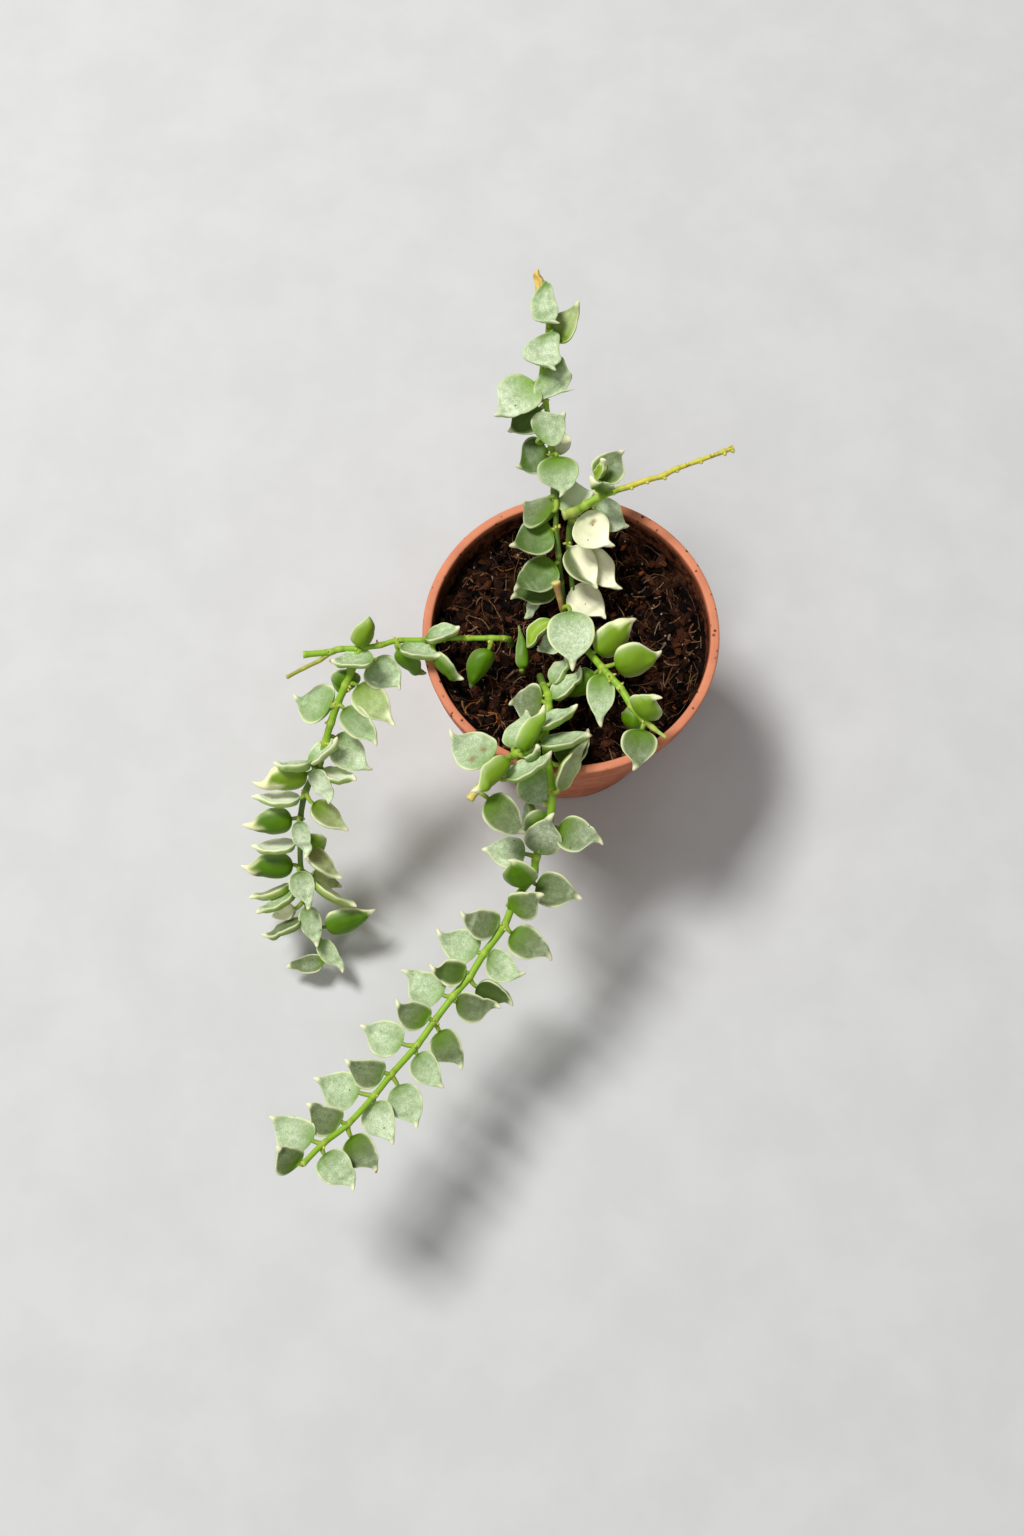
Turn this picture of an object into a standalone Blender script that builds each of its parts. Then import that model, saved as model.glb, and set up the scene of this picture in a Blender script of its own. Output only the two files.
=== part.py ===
"""Potted dischidia: a round nursery pot, its soil, and the leafy stems that grow and trail from it.

Origin at the centre of the pot's base, +Z up. The long trail runs towards -Y, the leafy stem that
rises over the back of the rim towards +Y. Lengths below are in millimetres, objects in metres.
"""

import math
from collections import namedtuple

import bmesh
import bpy
from mathutils import Vector, noise

MM = 0.001

# Pot
RIM_RADIUS = 45.0
RIM_WIDTH = 3.3
POT_HEIGHT = 75.0
COLLAR_HEIGHT = 9.5
COLLAR_STEP = 1.5
BASE_RADIUS = 31.0
WALL = 1.2
FLOOR = 1.5
DRAIN_HOLES = 6
DRAIN_CIRCLE = 20.0
DRAIN_RADIUS = 2.8
POT_SIDES = 40

# Soil
SOIL_TOP = 66.0
SOIL_GAP = 0.5
SOIL_RELIEF = 1.1
SOIL_RINGS = 7
SOIL_SIDES = 32

# Stems
STEM_SIDES = 6
HOLE_RADIUS = 1.75
ROOT_DEPTH = 9.0
ROOT_CLEAR = 0.3
NODE_SWELL = 1.18
BETWEEN_NODES = 0.95

# Leaves
STALK_RADIUS = 0.7
STALK_END_RADIUS = 0.55
STALK_SIDES = 5
LEAF_THICKNESS = 2.0
LEAST_THICKNESS = 0.7
CUP_PER_ARCH = 0.6
WIDEST = 0.34

# Places of stems and leaves are read in the plane of the rim from one viewpoint, and then slid
# along the line of sight to their own height.
EYE = Vector((-17.8, -190.0, 555.4))


def seen(x, y, z):
    """The point at height z that the viewpoint sees at (x, y) in the plane of the rim."""
    rim_point = Vector((x, y, POT_HEIGHT))
    share = (EYE.z - z) / (EYE.z - POT_HEIGHT)
    return EYE + (rim_point - EYE) * share


# Directions that a leaf's upper face looks in
UP = (0, 0, 1)
VIEW = (0, -0.4, 0.9)
FRONT = (0, -0.9, 0.5)
BACK = (0, 1, 0.6)
AWAY = (0, 1, -0.15)
OVER = (0, 0.6, -0.6)
LEFT = (-1, 0.2, 0.6)
RIGHT = (1, 0.2, 0.6)
LEFT_BACK = (-0.6, 0.75, 0.6)
RIGHT_BACK = (0.5, 0.85, 0.3)
RIGHT_AWAY = (0.6, 0.7, -0.3)

# at: place along its stem's route, counted in route points
# base, tip: where the blade starts and ends, as (x, y in the rim's plane, height above the stem
# for the base or above the base for the tip)
# arch: rise of the midrib's middle, negative where the leaf is cupped
# bow: the midrib's sideways bend, to the left seen from its base; cup: rise of the margins, if unusual
# widest: the share of its length at which the blade is widest
Leaf = namedtuple(
    "Leaf", "at base tip width face arch bow cup widest",
    defaults=(UP, -1.0, 0.0, None, WIDEST),
)

# root: where the stem stands in the soil, or None on a side branch
# route: points as (x, y in the rim's plane, height), thick: radius at even steps along it
Stem = namedtuple("Stem", "root route thick leaves", defaults=((),))

BACK_STEM = Stem(
    root=(-2.0, 10.9),
    route=(
        (-2.9, 16, 75), (-3.5, 25, 82.5), (-4.2, 34, 87.5), (-4.2, 42, 91), (-4, 50, 94),
        (-5, 59, 97.5), (-6, 68, 101), (-7.2, 78, 105), (-8.3, 87, 109), (-7.4, 95, 112.5),
        (-6.2, 103, 116), (-6.6, 111, 119.5), (-7.4, 118, 122),
    ),
    thick=(1.1, 0.9, 0.75),
    leaves=(
        Leaf(-0.4, (-9.6, 12, -2.5), (-14, 4, -2), 3.8, UP, -0.3),
        Leaf(0.0, (-4.5, 14.8, -1), (-18.3, 10.4, -1), 9),
        Leaf(0.8, (-4.6, 22, 0), (-17.2, 12.9, -1), 11.5),
        Leaf(2.0, (-5.4, 33.2, 0), (-18.7, 28, -1), 12.5),
        Leaf(3.2, (-5.2, 39.8, 0), (-14.6, 43, -6), 12.8, UP, -1.0, 1.5),
        Leaf(3.4, (-5.6, 44.6, -1), (8.4, 47.2, -2), 11.4, UP, -1.2, -0.4),
        Leaf(5.0, (-3.8, 58.4, 2.5), (-3, 44.4, -3), 12.4, VIEW),
        Leaf(5.2, (-6.8, 60.8, -1), (-16.8, 55, -3), 12.6),
        Leaf(5.0, (-3.4, 60, -1.5), (-2.2, 70, -3), 7),
        Leaf(5.6, (-9.3, 64.6, 4), (-1, 74, 3), 11, VIEW, -1.0, 0.4),
        Leaf(6.9, (-9, 75, -1), (-19.2, 67, -3), 11),
        Leaf(8.0, (-10.4, 84, 0), (-23.7, 72.6, 0), 13.4, UP, -1.0, -0.8),
        Leaf(8.6, (-4.2, 92.6, 1.5), (2, 82, -3), 12.4, VIEW, -0.6, -4.6, None, 0.6),
        Leaf(9.3, (-5, 102.4, 3.8), (-4, 88.5, -1.5), 10.8, VIEW, -0.6, -3.8, None, 0.6),
        Leaf(9.6, (-3.4, 98.8, 0), (3.6, 114, 4), 9, (-0.5, -0.2, 0.85), -1.0, 1.0),
        Leaf(12, (-7, 120.2, 1.5), (-2.5, 105.5, -2), 7.8, VIEW, -0.6, -2.8, None, 0.62),
        Leaf(12, (-9.2, 114.5, -1.5), (-9.4, 125.5, 1), 4.4, LEFT, -0.4),
    ),
)

CREAM_STEM = Stem(
    root=(1.2, 11.5),
    route=(
        (0.2, 19.5, 76), (-0.4, 29, 83.5), (0.8, 37, 90.5), (5, 41.8, 93.5), (9, 44.3, 95),
        (13.5, 46.5, 96.5), (18.8, 48.2, 97.5), (24, 50.3, 98.5), (29, 51.7, 99.5),
        (33, 54, 100.5), (40.5, 57, 102), (48, 60, 103.5), (51.3, 61.3, 104),
    ),
    thick=(0.8, 0.8, 1.3, 0.95, 0.95, 0.75),
    leaves=(
        Leaf(-0.5, (0.6, 14, 0.5), (10.6, 4, -1), 11),
        Leaf(0.7, (4, 25.5, -1), (15.8, 13.8, -3), 10.5),
        Leaf(0.9, (0.3, 27.6, 1), (8.2, 13.7, -3), 10),
        Leaf(1.9, (2.4, 37, 1), (13.8, 28, -2), 12.8),
        Leaf(3.0, (7.5, 41, -5), (18.3, 34.6, -3), 10.5),
        Leaf(4.6, (9.2, 50.6, 0), (17.3, 60.5, 1), 10.4),
        Leaf(5.0, (12.2, 46.8, 1.5), (6.4, 51.8, 7), 6, RIGHT_BACK, -0.6, 0.0, 1.4),
        Leaf(4.8, (8.2, 51, 0.5), (11.2, 57.2, 6), 3.2, (-0.7, -0.2, 0.5), -0.4, 0.0, 0.5),
    ),
)

CREAM_STUB = Stem(
    root=None,
    route=(
        (3, 40.2, 92.8), (0.5, 39.2, 93), (-2, 38.3, 93),
    ),
    thick=(1.3, 1.45),
)

RIGHT_STEM = Stem(
    root=(1.6, -0.4),
    route=(
        (2.6, -3, 76), (4.6, -5.8, 81), (9.3, -11.8, 84.5), (11.6, -14.6, 85.5), (14.5, -18, 86),
        (18, -24, 86.5), (21.3, -28, 86.5), (24, -30.7, 86), (27.6, -33.6, 85.5),
    ),
    thick=(1.15, 1.2, 1.15, 1.05, 1.2, 0.45),
    leaves=(
        Leaf(1.3, (7.4, -6.4, 1), (19.8, 4.1, 1), 10, OVER),
        Leaf(2.0, (13, -10.6, 0.5), (27.3, -6.3, 1), 11, OVER),
        Leaf(2.0, (8.7, -13.8, 0.5), (8.6, -30.5, -3), 8.4),
        Leaf(2.0, (7, -13.6, -4), (-2.2, -20.6, -9), 8, RIGHT_AWAY),
        Leaf(6.0, (21.2, -26.4, 0.5), (27, -21.2, 8), 11, OVER, -0.6, -1.5),
        Leaf(6.0, (20.4, -28.6, -1.5), (15, -26.3, -6), 8, OVER),
        Leaf(6.2, (20.7, -31.3, 0), (17.8, -44, -2), 10.6),
    ),
)

RIGHT_STUB = Stem(
    root=None,
    route=(
        (1.9, -1.8, 71), (-0.8, 3.5, 78.5), (-2.6, 7.3, 85), (-3.4, 11, 88.5), (-4.5, 16, 92),
    ),
    thick=(1.1, 1.0, 0.75, 0.85, 1.3),
    leaves=(
        Leaf(2.0, (-0.2, 6.4, 4), (0.3, -12.8, -1), 14),
        Leaf(1.2, (-5.6, 3.4, 1.5), (-13.3, -5.2, 1), 5.4, (-0.5, 0.1, 0.9), -1.0, -2.0, 1.4),
        Leaf(0.8, (-3.5, -2.5, -1), (-10.3, -6.2, -2), 7),
    ),
)

FRONT_TRAIL = Stem(
    root=(-9.3, -12.3),
    route=(
        (-8.4, -17.5, 76.5), (-7.1, -20.5, 79.5), (-7, -24.5, 81), (-7.8, -29, 81),
        (-8, -34.5, 80), (-7.3, -40.8, 78.5), (-6.1, -50, 77), (-6.9, -59, 73.5),
        (-10.8, -70.3, 68), (-11.7, -75.6, 66), (-16.8, -82.6, 63.3), (-20.2, -90.6, 60.8),
        (-25.7, -98.3, 58.8), (-29.8, -105, 57.6), (-34.4, -110.6, 57), (-39.6, -117.6, 57),
        (-44.4, -124.4, 57.6), (-51.6, -132.7, 59.2), (-56.1, -138.4, 60.8),
        (-63.2, -146.2, 63.6), (-69.9, -151.5, 66.4), (-75.3, -157, 69.5),
    ),
    thick=(1.3, 1.3, 1.25, 1.15, 1.0, 0.85),
    leaves=(
        Leaf(0, (-6, -16.4, 1), (-1.8, -7.6, 5), 7.6, (-0.7, 0.3, 0.65), -1.0, 0.0, 1.0),
        Leaf(1, (-5.8, -21.4, 1), (2.7, -11.2, 3), 8.6, (-0.5, 0.5, 0.75), -1.0, 0.0, 0.9),
        Leaf(1.9, (-9, -22.4, 0), (-18.8, -23.5, -6), 12.2),
        Leaf(3, (-10.8, -30.2, 3.6), (1.8, -23.3, 2), 8.4, (-0.35, 0.75, 0.7), -1.0, 0.0, 0.9),
        Leaf(5, (-3.2, -41.4, -1.4), (4.8, -30.8, -1), 9.5, RIGHT_BACK),
        Leaf(5, (-11.8, -43.3, -0.5), (-6.6, -55.2, -4), 10.5, UP, 1.0, -2.2),
        Leaf(6, (-4, -49.8, 2.5), (4.6, -34.6, 4), 8, RIGHT),
        Leaf(6.6, (-13, -54, -3), (-15.2, -62, -5), 5, LEFT),
        Leaf(7, (-7, -57, 0), (-15, -62, -5), 11, AWAY),
        Leaf(7.2, (-4.4, -61.5, 0), (8.7, -66.5, 0), 11),
        Leaf(8, (-10.4, -69, 1.5), (-5.5, -56.8, 8), 11.2, VIEW, 1.5),
        Leaf(8, (-14, -69.2, 1), (-26.6, -67.8, 0), 10.2, (-0.2, 0.2, 1)),
        Leaf(9, (-13.6, -78, 1), (-18.8, -71, 8), 11, AWAY, 0.8),
        Leaf(9, (-10.8, -78.3, -1), (2.4, -82.6, 0), 10.8),
        Leaf(10, (-18.6, -84.4, 1.5), (-8.5, -81.2, 6), 9, VIEW, 1.2, -1.6),
        Leaf(11, (-21.4, -90, 0.5), (-32.6, -86, 3), 9.6, UP, 1.0, 1.8),
        Leaf(10.4, (-18, -92.4, -1), (-6.4, -100.5, -1), 10, UP, 0.6),
        Leaf(12, (-27.6, -98, 0), (-39.3, -91.2, 0), 10.8, UP, -1.0, 0.8),
        Leaf(12, (-24.6, -99, 0), (-13.8, -103.9, 0), 9.4, UP, -1.0, -1.6),
        Leaf(13, (-30.8, -103.8, 1), (-41.3, -101.4, 3), 8.4, UP, 0.8, 1.2),
        Leaf(13, (-27.8, -107.9, -1.5), (-17.5, -113.4, -1), 10, FRONT),
        Leaf(14, (-37.4, -110.2, 0), (-49.3, -103.2, 0), 11, UP, -1.0, 1.2),
        Leaf(14, (-33.6, -112.2, -0.5), (-20.9, -114, 0), 9, VIEW, -1.0, -1.4),
        Leaf(15, (-41, -117, 1), (-50.6, -111.4, 3), 9, UP, 1.0, 1.8),
        Leaf(15, (-38.2, -120.5, -2), (-31.9, -131.2, -2), 9.4, UP, 0.8, -0.8),
        Leaf(16, (-48.6, -124, 0), (-60.6, -118.8, 0), 11, UP, -1.0, 0.6),
        Leaf(16, (-44.4, -127, -0.5), (-36.8, -136.3, -1), 8.6, UP, -1.0, -0.8),
        Leaf(17, (-53.3, -132.1, 1), (-64.7, -128.4, 2), 9, UP, 1.0, 2.0),
        Leaf(17, (-49.6, -135.6, -1), (-44.1, -147.3, -1), 10.2),
        Leaf(18, (-60.3, -137.6, 0), (-73.2, -133.5, 0), 11.4, UP, -1.0, 1.0),
        Leaf(18, (-56, -140.2, -0.5), (-50.6, -151.8, -1), 9.6, UP, -1.0, -1.0),
        Leaf(19, (-65, -145.6, 1), (-75, -140.6, 2), 9.2, UP, 1.0, 2.0),
        Leaf(19, (-62.2, -149.6, -1), (-55, -159.4, -1), 9.8, UP, -1.0, -0.6),
        Leaf(20, (-72.9, -150.6, 0), (-85.1, -144.1, 0), 10.6, UP, -1.0, 1.2),
        Leaf(20, (-69.5, -154.3, -0.5), (-61.2, -164.2, -1), 9.8),
        Leaf(21, (-76.2, -156.8, 0), (-82.7, -152.1, 6), 9, UP, 1.0, 1.5),
    ),
)

FRONT_BRANCH = Stem(
    root=None,
    route=(
        (-7.9, -30.5, 81), (-12.3, -36, 84), (-16.5, -38.7, 85.5), (-20, -41, 86),
        (-25.5, -46.8, 86.5), (-28.2, -50, 86.5), (-30.2, -52.8, 86.5),
    ),
    thick=(1.15, 1.1, 1.1, 1.15),
    leaves=(
        Leaf(0.8, (-9.2, -36, 1), (6, -33.1, 1), 9.2, (0, 0.82, 0.7), -0.6, 0.5, 1.0),
        Leaf(1.8, (-14.2, -39.2, 2), (-9.5, -36.4, 4), 4.5, LEFT_BACK),
        Leaf(2, (-15.4, -37.4, 1), (-8.2, -23.4, 4), 8.6, (-0.85, 0.4, -0.35), -1.0, -0.4, 1.4),
        Leaf(2, (-17.4, -36.8, -1.5), (-13.6, -25, -3), 9.6, (-0.4, 0.2, 0.9)),
        Leaf(3.5, (-19.2, -46.4, 1.5), (-6, -37.8, 2), 9, (-0.4, 0.65, 0.75), -1.0, 0.0, 0.9),
        Leaf(3, (-23.6, -40, 0), (-36.3, -31, 0), 12.6, UP, -1.0, 1.4),
        Leaf(2.8, (-19, -40.4, 3.8), (-29.9, -50.4, 1.5), 7.6, (-0.5, 0.6, -0.55), -1.0, 0.0, 1.2, 0.48),
        Leaf(5, (-24.8, -52.5, -0.5), (-13.8, -63.2, -5), 10.4, UP, 1.4, -0.6),
    ),
)

LEFT_TRAIL = Stem(
    root=(-18.2, -0.9),
    route=(
        (-18.7, -2.6, 74.5), (-20.4, -2.3, 77), (-24, -2.2, 77.8), (-31, -2.2, 77.6),
        (-38, -2.2, 77.4), (-43.5, -2.8, 77.4), (-52.2, -3, 78), (-57.6, -4.5, 78.2),
        (-63.5, -5.4, 78.2), (-69.9, -5.8, 78.2), (-72.5, -6.7, 78.3), (-80.5, -7.5, 79),
    ),
    thick=(1.15, 0.95, 0.85, 0.85, 0.9, 1.05),
    leaves=(
        Leaf(2, (-24.8, -5.9, -1.5), (-30.2, -18.3, -6), 7.2, OVER, -1.0, 1.0),
        Leaf(4.5, (-40.6, -7.2, 1), (-32.2, -15.5, -1.5), 8.4, (0.5, 0.7, -0.1)),
        Leaf(5, (-43.6, -2.2, 2.4), (-33.5, 1.5, 3.5), 9.2, (0, 0.65, 0.8), -1.0, 1.0, 1.0),
        Leaf(6, (-52, -5.8, -1), (-43.4, -13.6, -6), 9, RIGHT_AWAY),
        Leaf(6, (-51.2, -4.9, 1.5), (-38.8, -7.7, 2), 9.2, (0, 0.72, 0.75), -1.0, 0.6, 1.0),
        Leaf(8, (-64, -4.4, 1), (-61, 4.9, 7), 6.8, AWAY),
    ),
)

LEFT_STUB = Stem(
    root=None,
    route=(
        (-71.8, -6.6, 78.2), (-75.6, -9.4, 77.5), (-80.1, -11.8, 76.5), (-85.1, -14.7, 75),
    ),
    thick=(0.7, 0.65, 0.6),
)

LEFT_BRANCH = Stem(
    root=None,
    route=(
        (-63.5, -5.4, 78.2), (-65.2, -10.5, 76.8), (-67.5, -17.2, 74), (-69.8, -23.2, 70.5),
        (-71.5, -29, 67), (-73, -35, 63), (-74.5, -42, 58), (-78.2, -50, 51.5),
        (-79.5, -58.3, 44.5), (-79.3, -66, 37), (-78.8, -73.8, 29.5), (-76.5, -85.3, 20),
        (-72.5, -95.2, 12.5), (-72, -99.3, 10),
    ),
    thick=(1.25, 1.2, 1.05, 0.9, 0.75),
    leaves=(
        Leaf(0.8, (-59.4, -9.2, 3.4), (-72.7, -9.4, 0.5), 9.4, (0, 0.6, 0.8), -1.0, -1.2, 1.0),
        Leaf(1.2, (-67, -12.6, -1), (-68.6, -19, -8), 9, AWAY),
        Leaf(1, (-60.4, -10.2, -2), (-51.2, -18.8, -3), 11.4, UP, -1.0, 0.4),
        Leaf(2, (-64, -17.4, 0), (-52.6, -30.1, -4), 10.6),
        Leaf(3, (-71.8, -24, 0), (-83, -20, -4), 13.8, UP, -1.0, 0.5),
        Leaf(3, (-67.8, -24.6, 0.5), (-57.8, -36.4, -3), 9.4, (-0.7, 0.2, 0.75)),
        Leaf(5, (-70.4, -33.6, -1), (-58.8, -43.7, -4), 10.6, UP, -1.0, -1.0),
        Leaf(6, (-77.6, -41, 2.6), (-69.4, -33.5, 6), 9.2, (-0.55, 0.5, 0.7), -1.0, 0.6, 1.0),
        Leaf(6, (-77, -41.4, 4), (-88.3, -41.5, 1), 8.5, (0, 0.92, 0.45), -1.0, 0.0, 0.4),
        Leaf(6, (-78.2, -44.9, -0.5), (-94.2, -47.3, -2), 9.4, OVER),
        Leaf(6, (-73.2, -43.6, -0.5), (-63.5, -47, 1), 8.2, (0.15, 0.75, 0.7), -1.0, 0.0, 0.6),
        Leaf(6.2, (-76, -43.6, 3.5), (-71.4, -54.2, -4), 6.6, (-0.5, 0.1, 0.85)),
        Leaf(7, (-80, -52.3, 0), (-94.2, -51.9, 1), 8.8, (0, 0.76, 0.66), -1.0, 0.0, 0.6),
        Leaf(7, (-76, -54, 0), (-65.4, -62.3, -3), 9, (0.3, 0.35, 0.85)),
        Leaf(8, (-82, -58.6, 0), (-96.4, -60.4, -1), 9.4, OVER),
        Leaf(8, (-80, -59.4, 2.5), (-77.8, -70.6, -5), 5.8),
        Leaf(8.6, (-77.2, -63.5, -2), (-72.2, -66.5, -9), 8, AWAY),
        Leaf(9, (-80.8, -66.2, 0), (-93.6, -66.8, 1), 8.8, (0, 0.76, 0.66), -1.0, 0.0, 0.6),
        Leaf(9, (-76.8, -67.6, 0), (-66.8, -76.5, -3), 8.6, (0.45, 0.5, 0.7)),
        Leaf(10, (-81.2, -72.4, 0), (-96.3, -72.6, -1), 9.6, OVER),
        Leaf(10, (-79.4, -74.4, 2.5), (-76.4, -86.1, -5), 8),
        Leaf(10, (-75.6, -75.6, -3), (-66.8, -79, -7), 8),
        Leaf(10.3, (-74.4, -77.4, 1), (-62.3, -84.8, -2), 8.5, RIGHT_BACK),
        Leaf(10.4, (-82.6, -78.4, -2), (-93.5, -82.2, -5), 7, BACK),
        Leaf(10.6, (-80.6, -80, 0.5), (-91.4, -86.8, 0), 9, LEFT_BACK),
        Leaf(10.7, (-80.6, -85.6, -2), (-86.8, -87.4, -4), 5.5),
        Leaf(11, (-76.8, -84.8, 2.5), (-73.4, -96.6, -4), 7),
        Leaf(11, (-78.2, -88.4, 0), (-89.6, -92.8, 0), 8.5, LEFT_BACK),
        Leaf(11.3, (-71, -90.6, -1), (-56.9, -85.7, 2), 9.6, OVER),
        Leaf(12, (-72.6, -94.8, 2), (-65.8, -104, -3), 5.8),
        Leaf(13, (-71.6, -100.8, -0.5), (-82, -102.4, -1), 6.2),
    ),
)

LEFT_SPROUT = Stem(
    root=(-14.4, -9.6),
    route=(
        (-14.8, -12.6, 71), (-14.9, -12.4, 73.5),
    ),
    thick=(0.9, 0.75),
    leaves=(
        Leaf(1, (-14.8, -12, 0.8), (-15.8, 1.9, 2), 4.3, (-0.7, 0.3, -0.7), -0.4, 0.0, 0.3, 0.3),
    ),
)

# Each node's stems: the first stands in the soil, the others branch from it
PLANTS = {
    "stem_back": (BACK_STEM,),
    "stem_cream": (CREAM_STEM, CREAM_STUB),
    "stem_right": (RIGHT_STEM, RIGHT_STUB),
    "trail_front": (FRONT_TRAIL, FRONT_BRANCH),
    "trail_left": (LEFT_TRAIL, LEFT_STUB, LEFT_BRANCH),
    "sprout_left": (LEFT_SPROUT,),
}


def clear_scene():
    for obj in list(bpy.data.objects):
        bpy.data.objects.remove(obj)


def material(name, colour, roughness):
    made = bpy.data.materials.new(name)
    made.use_nodes = True
    shader = made.node_tree.nodes["Principled BSDF"]
    shader.inputs["Base Color"].default_value = (*colour, 1.0)
    shader.inputs["Roughness"].default_value = roughness
    shader.inputs["Metallic"].default_value = 0.0
    made.diffuse_color = (*colour, 1.0)
    return made


def new_object(name, points, faces, finish=None):
    """An object from points in millimetres, with its faces turned outwards."""
    mesh = bpy.data.meshes.new(name)
    mesh.from_pydata([Vector(p) * MM for p in points], [], faces)
    shell = bmesh.new()
    shell.from_mesh(mesh)
    bmesh.ops.recalc_face_normals(shell, faces=shell.faces)
    shell.to_mesh(mesh)
    shell.free()
    if finish:
        mesh.materials.append(finish)
    obj = bpy.data.objects.new(name, mesh)
    bpy.context.scene.collection.objects.link(obj)
    return obj


def apply_boolean(obj, others, operation):
    """Unite the others with obj, or cut them out of it, and remove them."""
    group = bpy.data.collections.new(f"{obj.name}_{operation.lower()}")
    bpy.context.scene.collection.children.link(group)
    for other in others:
        bpy.context.scene.collection.objects.unlink(other)
        group.objects.link(other)
        other.hide_render = True
        other.display_type = "WIRE"
    boolean = obj.modifiers.new(operation.lower(), "BOOLEAN")
    boolean.operation = operation
    boolean.operand_type = "COLLECTION"
    boolean.collection = group
    boolean.solver = "MANIFOLD"
    evaluated = obj.evaluated_get(bpy.context.evaluated_depsgraph_get())
    obj.modifiers.remove(boolean)
    obj.data = bpy.data.meshes.new_from_object(evaluated)
    for other in others:
        bpy.data.objects.remove(other)
    bpy.data.collections.remove(group)


def loft(rings, end_point=None):
    """Points and faces of a closed body through rings of equal count, capped at both ends."""
    count = len(rings[0])
    points = [point for ring in rings for point in ring]
    faces = [tuple(range(count))]
    for row in range(len(rings) - 1):
        for k in range(count):
            near, far = row * count, (row + 1) * count
            after = (k + 1) % count
            faces.append((near + k, near + after, far + after, far + k))
    last = (len(rings) - 1) * count
    if end_point is None:
        faces.append(tuple(range(last, last + count)))
    else:
        points.append(end_point)
        faces += [(last + k, last + (k + 1) % count, len(points) - 1) for k in range(count)]
    return points, faces


def turned(profile, sides):
    """Points and faces of a body turned about Z from a closed profile that starts and ends on it."""
    points = [Vector((0, 0, profile[0][1]))]
    faces = []
    rings = profile[1:-1]
    for radius, height in rings:
        for k in range(sides):
            angle = 2 * math.pi * k / sides
            points.append(Vector((radius * math.cos(angle), radius * math.sin(angle), height)))
    points.append(Vector((0, 0, profile[-1][1])))
    end = len(points) - 1
    for k in range(sides):
        after = (k + 1) % sides
        faces.append((0, 1 + k, 1 + after))
        for row in range(len(rings) - 1):
            near, far = 1 + row * sides, 1 + (row + 1) * sides
            faces.append((near + k, near + after, far + after, far + k))
        last = 1 + (len(rings) - 1) * sides
        faces.append((last + k, last + after, end))
    return points, faces


def cylinder(name, x, y, radius, low, high, sides=12):
    rings = []
    for height in (low, high):
        turn = [2 * math.pi * k / sides for k in range(sides)]
        rings.append([Vector((x + radius * math.cos(a), y + radius * math.sin(a), height)) for a in turn])
    return new_object(name, *loft(rings))


def inner_radius(height):
    """The pot's inner wall, which tapers from under the rim to the floor."""
    top, bottom = RIM_RADIUS - RIM_WIDTH - 0.4, BASE_RADIUS - WALL
    share = (height - FLOOR) / (POT_HEIGHT - COLLAR_HEIGHT - FLOOR)
    return bottom + (top - bottom) * min(share, 1.0)


def build_pot():
    collar = POT_HEIGHT - COLLAR_HEIGHT
    outer = RIM_RADIUS - COLLAR_STEP
    inner = RIM_RADIUS - RIM_WIDTH
    profile = (
        (0, 0), (BASE_RADIUS - 0.8, 0), (BASE_RADIUS, 0.8), (outer - 1.1, collar - 0.6),
        (outer - 0.2, collar), (outer + 0.5, collar + 0.7), (RIM_RADIUS, POT_HEIGHT - 0.8),
        (RIM_RADIUS - 0.7, POT_HEIGHT), (inner + 0.6, POT_HEIGHT), (inner, POT_HEIGHT - 0.7),
        (inner_radius(collar), collar), (inner_radius(FLOOR), FLOOR), (0, FLOOR),
    )
    finish = material("pot_plastic", (0.62, 0.26, 0.17), 0.5)
    pot = new_object("pot", *turned(profile, POT_SIDES), finish)
    drains = []
    for k in range(DRAIN_HOLES):
        angle = 2 * math.pi * (k + 0.5) / DRAIN_HOLES
        x, y = DRAIN_CIRCLE * math.cos(angle), DRAIN_CIRCLE * math.sin(angle)
        drains.append(cylinder(f"drain_{k}", x, y, DRAIN_RADIUS, -1, FLOOR + 1))
    apply_boolean(pot, drains, "DIFFERENCE")
    pot.data.shade_smooth()
    pot.data.set_sharp_from_angle(angle=math.radians(35))


def soil_height(x, y):
    """Uneven ground: broad mounds with lumps of bark on them."""
    broad = noise.noise(Vector((x / 22, y / 22, 0.3)))
    lumps = noise.noise(Vector((x / 7, y / 7, 5.1)))
    return SOIL_TOP + SOIL_RELIEF * (broad + 0.7 * lumps)


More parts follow.
